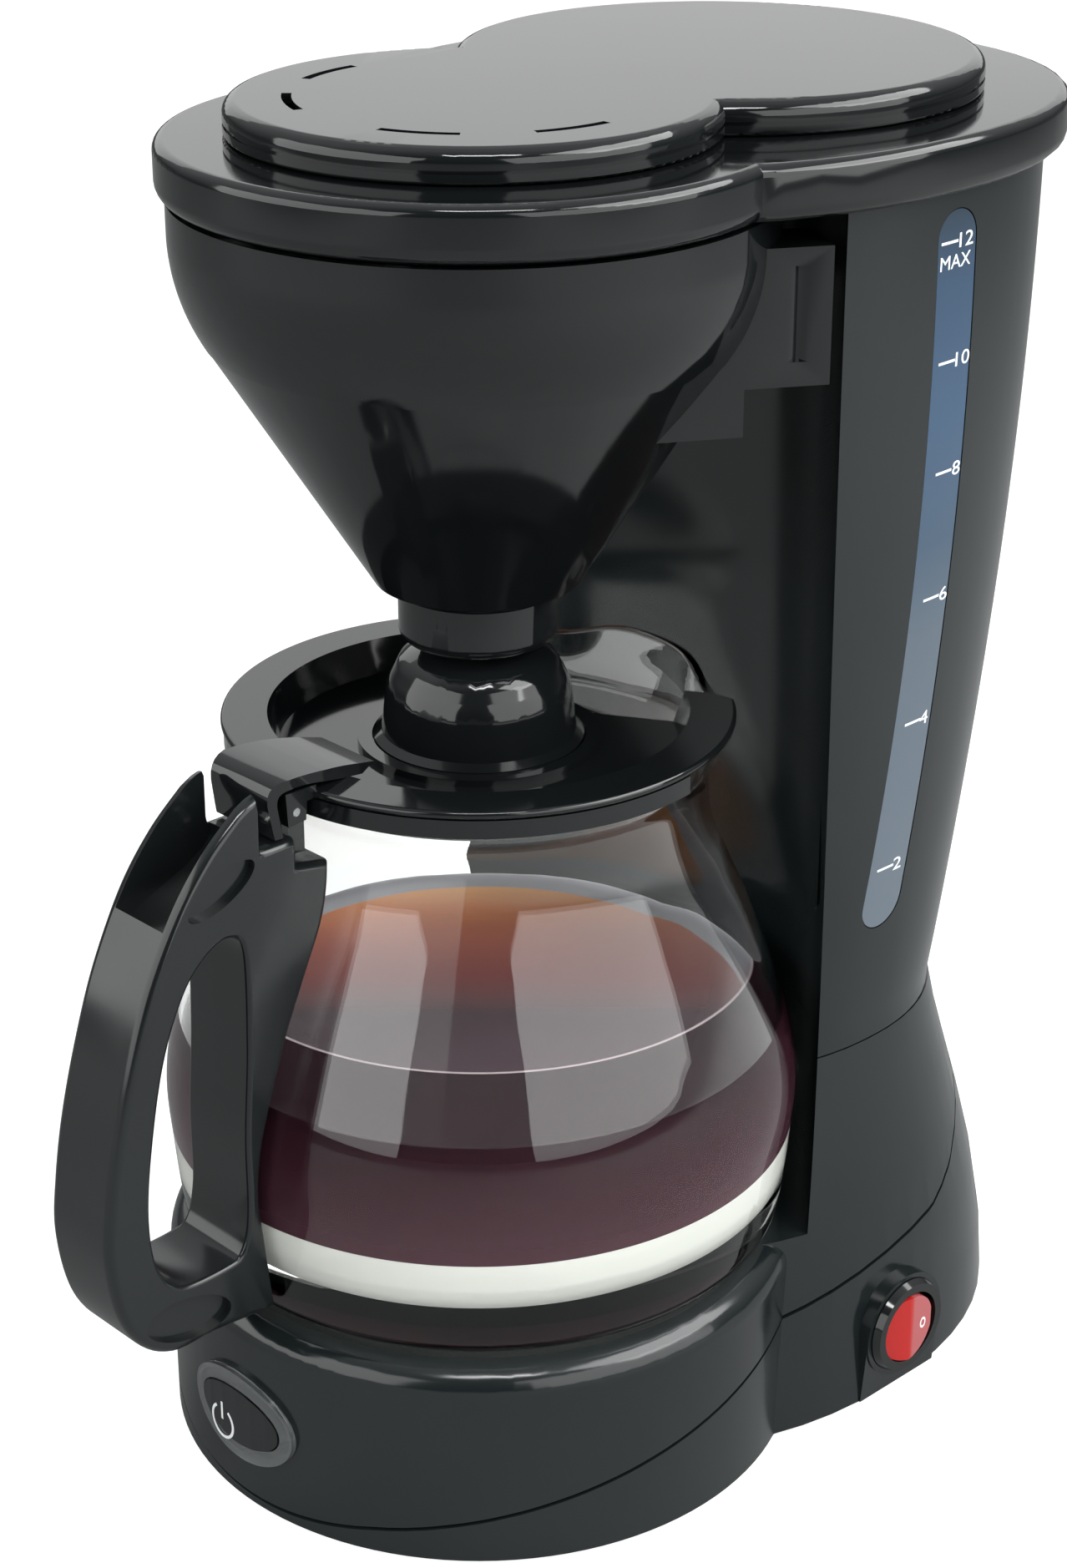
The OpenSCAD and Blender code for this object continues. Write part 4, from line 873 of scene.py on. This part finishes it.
def handle():
    """Grip, two arms and the strap along the glass as one closed ring: at each point round the
    opening the section runs from the outside curve to the opening's curve, 22 mm wide, with
    corners of 2.4 mm outside and 1.2 mm inside."""
    room = 0.8  # between the strap and the glass
    out = through(HANDLE_OUT, 12)
    side = np.array([[-glass_radius(z) - room, z] for z in np.linspace(168, 60, 60)])
    top = np.array([[-79.0, 187.6], [-76.4, 189.0], [-74.2, 189.6], [-74.0, 188.6], [-74.0, 177.2],
                    [-73.4, 176.6], [-64.4, 176.6], [-63.8, 176.0], [-63.6, 169.8]])
    ring = np.concatenate([side, out, top[1:]])
    gap = through(HANDLE_GAP, 10, closed=True)
    # points of the outside that stand over points of the opening, round the ring
    pairs = [((-95, 60.6), (-95, 76.9)), ((-120.5, 91), (-108.8, 96)), ((-105.6, 153), (-96.5, 149)),
             ((-79, 187.6), (-84, 158.6)), ((-63.6, 169.8), (-80.2, 156.0)),
             ((-glass_radius(130) - room, 130), (-79.6, 130)),
             ((-glass_radius(88) - room, 88), (-81.4, 88)), ((-71.6, 60), (-84.2, 78.4))]
    o_i = [nearest(ring, p) for p, _ in pairs]
    g_i = [nearest(gap, q) for _, q in pairs]

    def leg(curve, a, b, n):
        """n - 1 even points of a closed curve from index a on to index b, without the last."""
        idx = np.arange(a, b + 1 if b > a else b + 1 + len(curve))
        return along(curve[idx % len(curve)], n)[:-1]

    # how finely each leg between two of these points is cut
    counts = [26, 34, 34, 22, 34, 26, 20, 16]
    outer = np.concatenate([leg(ring, o_i[k], o_i[(k + 1) % 8], counts[k]) for k in range(8)])
    inner = np.concatenate([leg(gap, g_i[k], g_i[(k + 1) % 8], counts[k]) for k in range(8)])
    mid, half = (outer + inner) / 2, np.linalg.norm(outer - inner, axis=1) / 2
    way = (outer - inner) / (2 * half[:, None])
    # rounded section: p across the thickness, q across the width
    c = np.linspace(0, math.pi / 2, 6)
    r_out, r_in, half_width = 2.4, 1.2, 11.0
    rows = []
    for sp, sq, r in ((1, 1, r_out), (-1, 1, r_in), (-1, -1, r_in), (1, -1, r_out)):
        cc = c if sp * sq > 0 else c[::-1]
        rows.append(np.stack([np.full(6, sp), sp * (np.cos(cc) - 1) * r,
                              sq * (half_width - r + np.sin(cc) * r)], -1))
    sec = np.concatenate(rows)
    p = sec[None, :, 0] * half[:, None] + sec[None, :, 1]
    q = np.repeat(sec[None, :, 2], len(mid), 0)
    yz = mid[:, None, :] + way[:, None, :] * p[..., None]
    return np.stack([q, yz[..., 0], yz[..., 1]], -1)


def oval_prism(y, z, turn, a, b, x0, x1):
    """Elliptical prism along x, its long axis turned by turn degrees in the side plane."""
    t = np.linspace(0, 2 * math.pi, 64, endpoint=False)
    c, s = math.cos(math.radians(turn)), math.sin(math.radians(turn))
    yy = y + a * np.cos(t) * c - b * np.sin(t) * s
    zz = z + a * np.cos(t) * s + b * np.sin(t) * c
    return prism(np.column_stack([yy, zz]), x0, x1)


def carafe_handle():
    """Handle with the hollow under its top arm, the slot under its lower arm and the blind oval
    dimples on both sides, and the knuckle of the lid's hinge."""
    v, f = skin(handle(), close_v=True)
    o = mesh_piece("carafe_handle_grip", "carafe", NYLON, v, f, 40)
    hollow = along(np.array([[-73.0, 200], [-73.0, 173], [-80, 168.5], [-90, 164.5], [-99, 160.5],
                             [-104, 200], [-73.0, 200]]), 40)[:-1]
    slot = [[-84, 50], [-84, 66], [-88, 73.5], [-100, 73.5], [-106, 70], [-102, 50]]
    # middle of each dimple, its turn, and its half length and half height
    dimples = [oval_prism(y, z, turn, a, b, side * 9.3, side * 14.2) for side in (-1, 1)
               for y, z, turn, a, b in ((-85.3, 170.8, 24, 10, 3.9), (-99.8, 68.2, -12, 12, 5.4))]
    opened(o, NYLON, 38, prism(hollow, -8.5, 8.5), prism(slot, -8.5, 8.5), *dimples)
    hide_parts("carafe_handle")
    # knuckle: a sleeve round the pin on a short web
    t = np.linspace(0, 2 * math.pi, 48, endpoint=False)
    pin_y, pin_z = -63.5, 182.5
    rows = [np.stack([np.full(48, x), pin_y + r * np.cos(t), pin_z + r * np.sin(t)], -1)
            for x, r in ((-7.8, 1.05), (-7.8, 2.3), (-7.5, 2.6), (7.5, 2.6), (7.8, 2.3), (7.8, 1.05))]
    v1, f1 = skin(np.array(rows), close_v=True)
    v2, f2 = prism([[-65.6, 175.6], [-63.8, 175.6], [-63.8, 180.4], [-65.6, 181]], -7.6, 7.6)
    k = mesh_piece("carafe_handle_knuckle", "carafe", NYLON,
                   np.concatenate([v1, v2]), list(f1) + list(f2 + len(v1)), 40)
    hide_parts("carafe_handle")


carafe_handle()


def helix(turns, r, z0, z1, n=28):
    """Coil: r cos a, r sin a, and a height that rises evenly, with the last half turn at each end
    closed up against its neighbour."""
    k = np.linspace(0, 1, turns * n + 1)
    a = 2 * math.pi * turns * k
    lift = np.clip((k - 0.5 / turns) / (1 - 1.0 / turns), 0, 1)
    return np.stack([r * np.cos(a), r * np.sin(a), z0 + (z1 - z0) * lift], -1)


def springs():
    """Wire of 0.8 and 0.6 mm wound over the drip stop's stem and behind the power button."""
    v, f = skin(capped(tube(helix(6, 4.2, 211.6, 220.9), 0.4)))
    body = frame["nodes"]["drip_stop_spring"]["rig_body"]
    coil = mesh_piece("drip_stop_coil", body, STEEL, v, f, 60)
    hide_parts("drip_stop_spring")
    # the button's spring lies along y, behind the button's plate
    c = helix(4, 3.4, 0.3, 4.3)
    c = np.stack([c[:, 0], -65.6 - c[:, 2], 25.9 + c[:, 1]], -1)
    v, f = skin(capped(tube(c, 0.3)))
    body = frame["nodes"]["button_spring"]["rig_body"]
    coil = mesh_piece("button_coil", body, STEEL, v, f, 60)
    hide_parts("button_spring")


springs()

# ------------------------------------------------------------------ printed marks

def lettering(name, text, to_frame):
    """Flat text made a mesh on the level window, placed by to_frame(points): (n, 2) mm in the
    plane of the writing plus a height, to (n, 3) mm round the brewing axis."""
    c = bpy.data.curves.new(name, "FONT")
    c.body, c.size, c.extrude, c.resolution_u = text, 5.0, 0.05, 4
    tmp = bpy.data.objects.new(name + "_text", c)
    bpy.context.scene.collection.objects.link(tmp)
    bpy.context.view_layer.update()
    me = bpy.data.meshes.new_from_object(tmp.evaluated_get(bpy.context.evaluated_depsgraph_get()))
    bpy.data.objects.remove(tmp)
    v = np.empty(len(me.vertices) * 3)
    me.vertices.foreach_get("co", v)
    v = metres(to_frame(v.reshape(-1, 3)))
    faces = [list(p.vertices) for p in me.polygons]
    mesh_piece(name, "housing", INK, v, faces, 30)


# Depth of the pane's face behind the tower's skin at the printing, and the ink's two faces
# measured from it.
PANE_BACK, INK_UNDER, INK_TOP = 0.11, -0.06, 0.05


def upright(y0, z0, height_mm, width_mm):
    """Puts flat writing on the level window: scaled to height and width, centred on y0 and z0."""
    def place(p):
        low, high = p[:, :2].min(0), p[:, :2].max(0)
        middle, size = (low + high) / 2, high - low
        y = y0 + (p[:, 0] - middle[0]) * (width_mm / size[0])
        z = z0 + (p[:, 1] - middle[1]) * (height_mm / size[1])
        lift = np.where(p[:, 2] > 0, INK_TOP, INK_UNDER)
        return np.stack([tower_x(y, z) - PANE_BACK + lift, y, z], -1)
    return place


def gauge_marks():
    """Cup numbers, 3.3 mm tall, and MAX, printed on the level window; each number has a dash
    5.7 mm long and 0.6 mm wide."""
    # number, its middle along y and z, its width, and where its dash begins
    for text, y, z, w, dash in (("12", 78.3, 296.7, 5.0, 69.6), ("10", 79.9, 269.4, 5.2, 71.3),
                                ("8", 80.9, 243.3, 2.9, 73.3), ("6", 80.4, 212.8, 2.9, 72.9),
                                ("4", 77.7, 182.0, 3.0, 70.7), ("2", 73.6, 144.8, 2.9, 66.4)):
        lettering("gauge_number_" + text, text, upright(y, z, 3.3, w))
        ys = np.linspace(dash, dash + 5.7, 7)
        rows = []
        for zz, lift in ((z - 0.3, INK_UNDER), (z - 0.3, INK_TOP), (z + 0.3, INK_TOP), (z + 0.3, INK_UNDER)):
            zs = np.full(7, zz)
            rows.append(np.stack([tower_x(ys, zs) - PANE_BACK + lift, ys, zs], -1))
        v, f = skin(capped(np.swapaxes(np.array(rows), 0, 1)))
        mesh_piece("gauge_dash_" + text, "housing", INK, v, f, 30)
    lettering("gauge_max", "MAX", upright(74.9, 292.2, 3.1, 10.6))


gauge_marks()


def power_mark():
    """Generic power sign on the button: a ring open over 68 degrees at the top and a bar, 0.75 mm
    lines on the button's own cylinder."""
    def on_button(line, r):
        x, z = line[:, 0], line[:, 1]
        return np.stack([x, -np.sqrt(np.maximum(r * r - x * x, 0)), z], -1)
    a = np.radians(np.linspace(90 + 34, 90 + 326, 60))
    cx, cz, rr, w = -5.6, 21.9, 4.2, 0.375  # middle, radius of the ring, half width of the lines
    ring = np.stack([cx + rr * np.cos(a), cz - 0.3 + rr * np.sin(a)], -1)
    bar = np.stack([np.full(8, cx), np.linspace(cz + 0.4, cz + 5.2, 8)], -1)
    under, top = BUTTON_R + INK_UNDER, BUTTON_R + INK_TOP
    for name, line in (("ring", ring), ("bar", bar)):
        t = np.gradient(line, axis=0)
        t /= np.linalg.norm(t, axis=1)[:, None]
        n = np.stack([-t[:, 1], t[:, 0]], -1) * w
        rows = [on_button(line + n, under), on_button(line + n, top), on_button(line - n, top),
                on_button(line - n, under)]
        v, f = skin(capped(np.swapaxes(np.array(rows), 0, 1)))
        mesh_piece("power_mark_" + name, "button", INK, v, f, 40)


power_mark()


def rocker_mark():
    """The off sign: an oval ring 3.1 mm tall, printed on the rear half of the rocker."""
    t = np.linspace(0, 2 * math.pi, 48, endpoint=False)
    c, s = math.cos(math.radians(-8)), math.sin(math.radians(-8))
    # middle of the rocker, how far its face stands out there, its slope, and the sign's place
    x0, y0, z0, face, fall, run, u0 = 73.5, 72.8, 19.0, 7.6, 2.0, 8.7, 5.3
    rows = []
    # size as a share of the outer oval, and height over the face
    for k, lift in ((1.0, -0.05), (1.0, 0.06), (0.62, 0.06), (0.62, -0.05)):
        u, w = u0 + k * 1.15 * np.cos(t), k * 1.55 * np.sin(t)
        x = face - fall * u / run + lift
        rows.append(np.stack([x0 + x * c - u * s, y0 + x * s + u * c, z0 + w], -1))
    v, f = skin(np.array(rows), close_v=True)
    mesh_piece("rocker_mark_off", "rocker", INK, v, f, 40)


rocker_mark()

# ------------------------------------------------------------------ light and floor

def seen_directly(tree):
    """Mask of what the camera sees straight or through glass, and the light path's outputs."""
    path = node(tree, "LightPath").outputs
    both_ways = [(0, path["Is Camera Ray"]), (1, path["Is Transmission Ray"])]
    return node(tree, "Math", both_ways, operation="MAXIMUM").outputs[0], path


def world():
    """White for what the camera and glass see of the backdrop, a graded cove for what gloss
    mirrors, and an even, softer light for the rest."""
    w = bpy.data.worlds.new("studio")
    bpy.context.scene.world = w
    w.use_nodes = True
    t = w.node_tree
    t.nodes.clear()
    seen, path = seen_directly(t)
    light = node(t, "Background", in_0=tint("#ffffff"), in_1=0.24)
    white = node(t, "Background", in_0=tint("#ffffff"), in_1=1.0)
    # gloss sees the bright cove behind and above, and the dark room on the camera's side
    d = node(t, "TexCoord").outputs["Generated"]
    lift = node(t, "SeparateXYZ", [(0, d)])
    up = spread(t, lift.outputs[2], 0.06, 0.75, -0.05, 0.75)
    back = node(t, "VectorMath", [(0, d)], operation="DOT_PRODUCT", in_1=(-0.69, 0.72, 0.0)).outputs["Value"]
    cove = both(t, up, spread(t, back, 0.15, 1.0, -0.75, -0.05))
    gloss = node(t, "Background", [(1, cove)], in_0=tint("#f4f7f8"))
    a = node(t, "MixShader", [(0, path["Is Glossy Ray"]), (1, light.outputs[0]), (2, gloss.outputs[0])])
    b = node(t, "MixShader", [(0, seen), (1, a.outputs[0]), (2, white.outputs[0])])
    t.links.new(b.outputs[0], node(t, "OutputWorld").inputs[0])


def floor():
    """Plain pale table: 18 m of matt laminate, lit to white for the camera and through glass."""
    m, t, out = fresh("laminate_white_matt")
    seen, _ = seen_directly(t)
    b = ramp(t, grain(t, 60.0), [(0.3, "#9a9c9d"), (0.7, "#a0a2a2")])
    s = node(t, "BsdfPrincipled", [("Base Color", b)], in_Roughness=0.85, in_IOR=1.3)
    glow = node(t, "Emission", [(1, spread(t, seen, 0.0, 0.9))], in_0=tint("#ffffff"))
    add = node(t, "AddShader", [(0, s.outputs[0]), (1, glow.outputs[0])])
    t.links.new(add.outputs[0], out.inputs[0])
    me = bpy.data.meshes.new("floor")
    half = 9
    corners = [(-half, -half, 0), (half, -half, 0), (half, half, 0), (-half, half, 0)]
    me.from_pydata(corners, [], [(0, 1, 2, 3)])
    me.materials.append(m)
    o = bpy.data.objects.new("floor", me)
    bpy.context.scene.collection.objects.link(o)


world()
floor()
# each with its place, what it is aimed at, its size in metres and its power in watts
softbox("top_softbox", (0.62, -0.5, 1.3), (0.0, 0.0, 0.2), (0.6, 0.14), 5.0)
softbox("back_softbox", (-1.35, 1.25, 0.85), (0.0, 0.0, 0.3), (2.6, 1.0), 7.0)
softbox("front_softbox", (-0.323, -1.207, 0.56), (0.0, -0.02, 0.15), (1.9, 1.0), 14.0)
softbox("side_softbox", (1.263, 0.133, 0.56), (0.0, -0.02, 0.15), (1.75, 1.0), 13.0)
softbox("table_softbox", (0.62, 0.45, 0.8), (0.55, 0.4, 0.0), (0.9, 0.7), 12.0)

bpy.context.scene.view_settings.view_transform = "Standard"
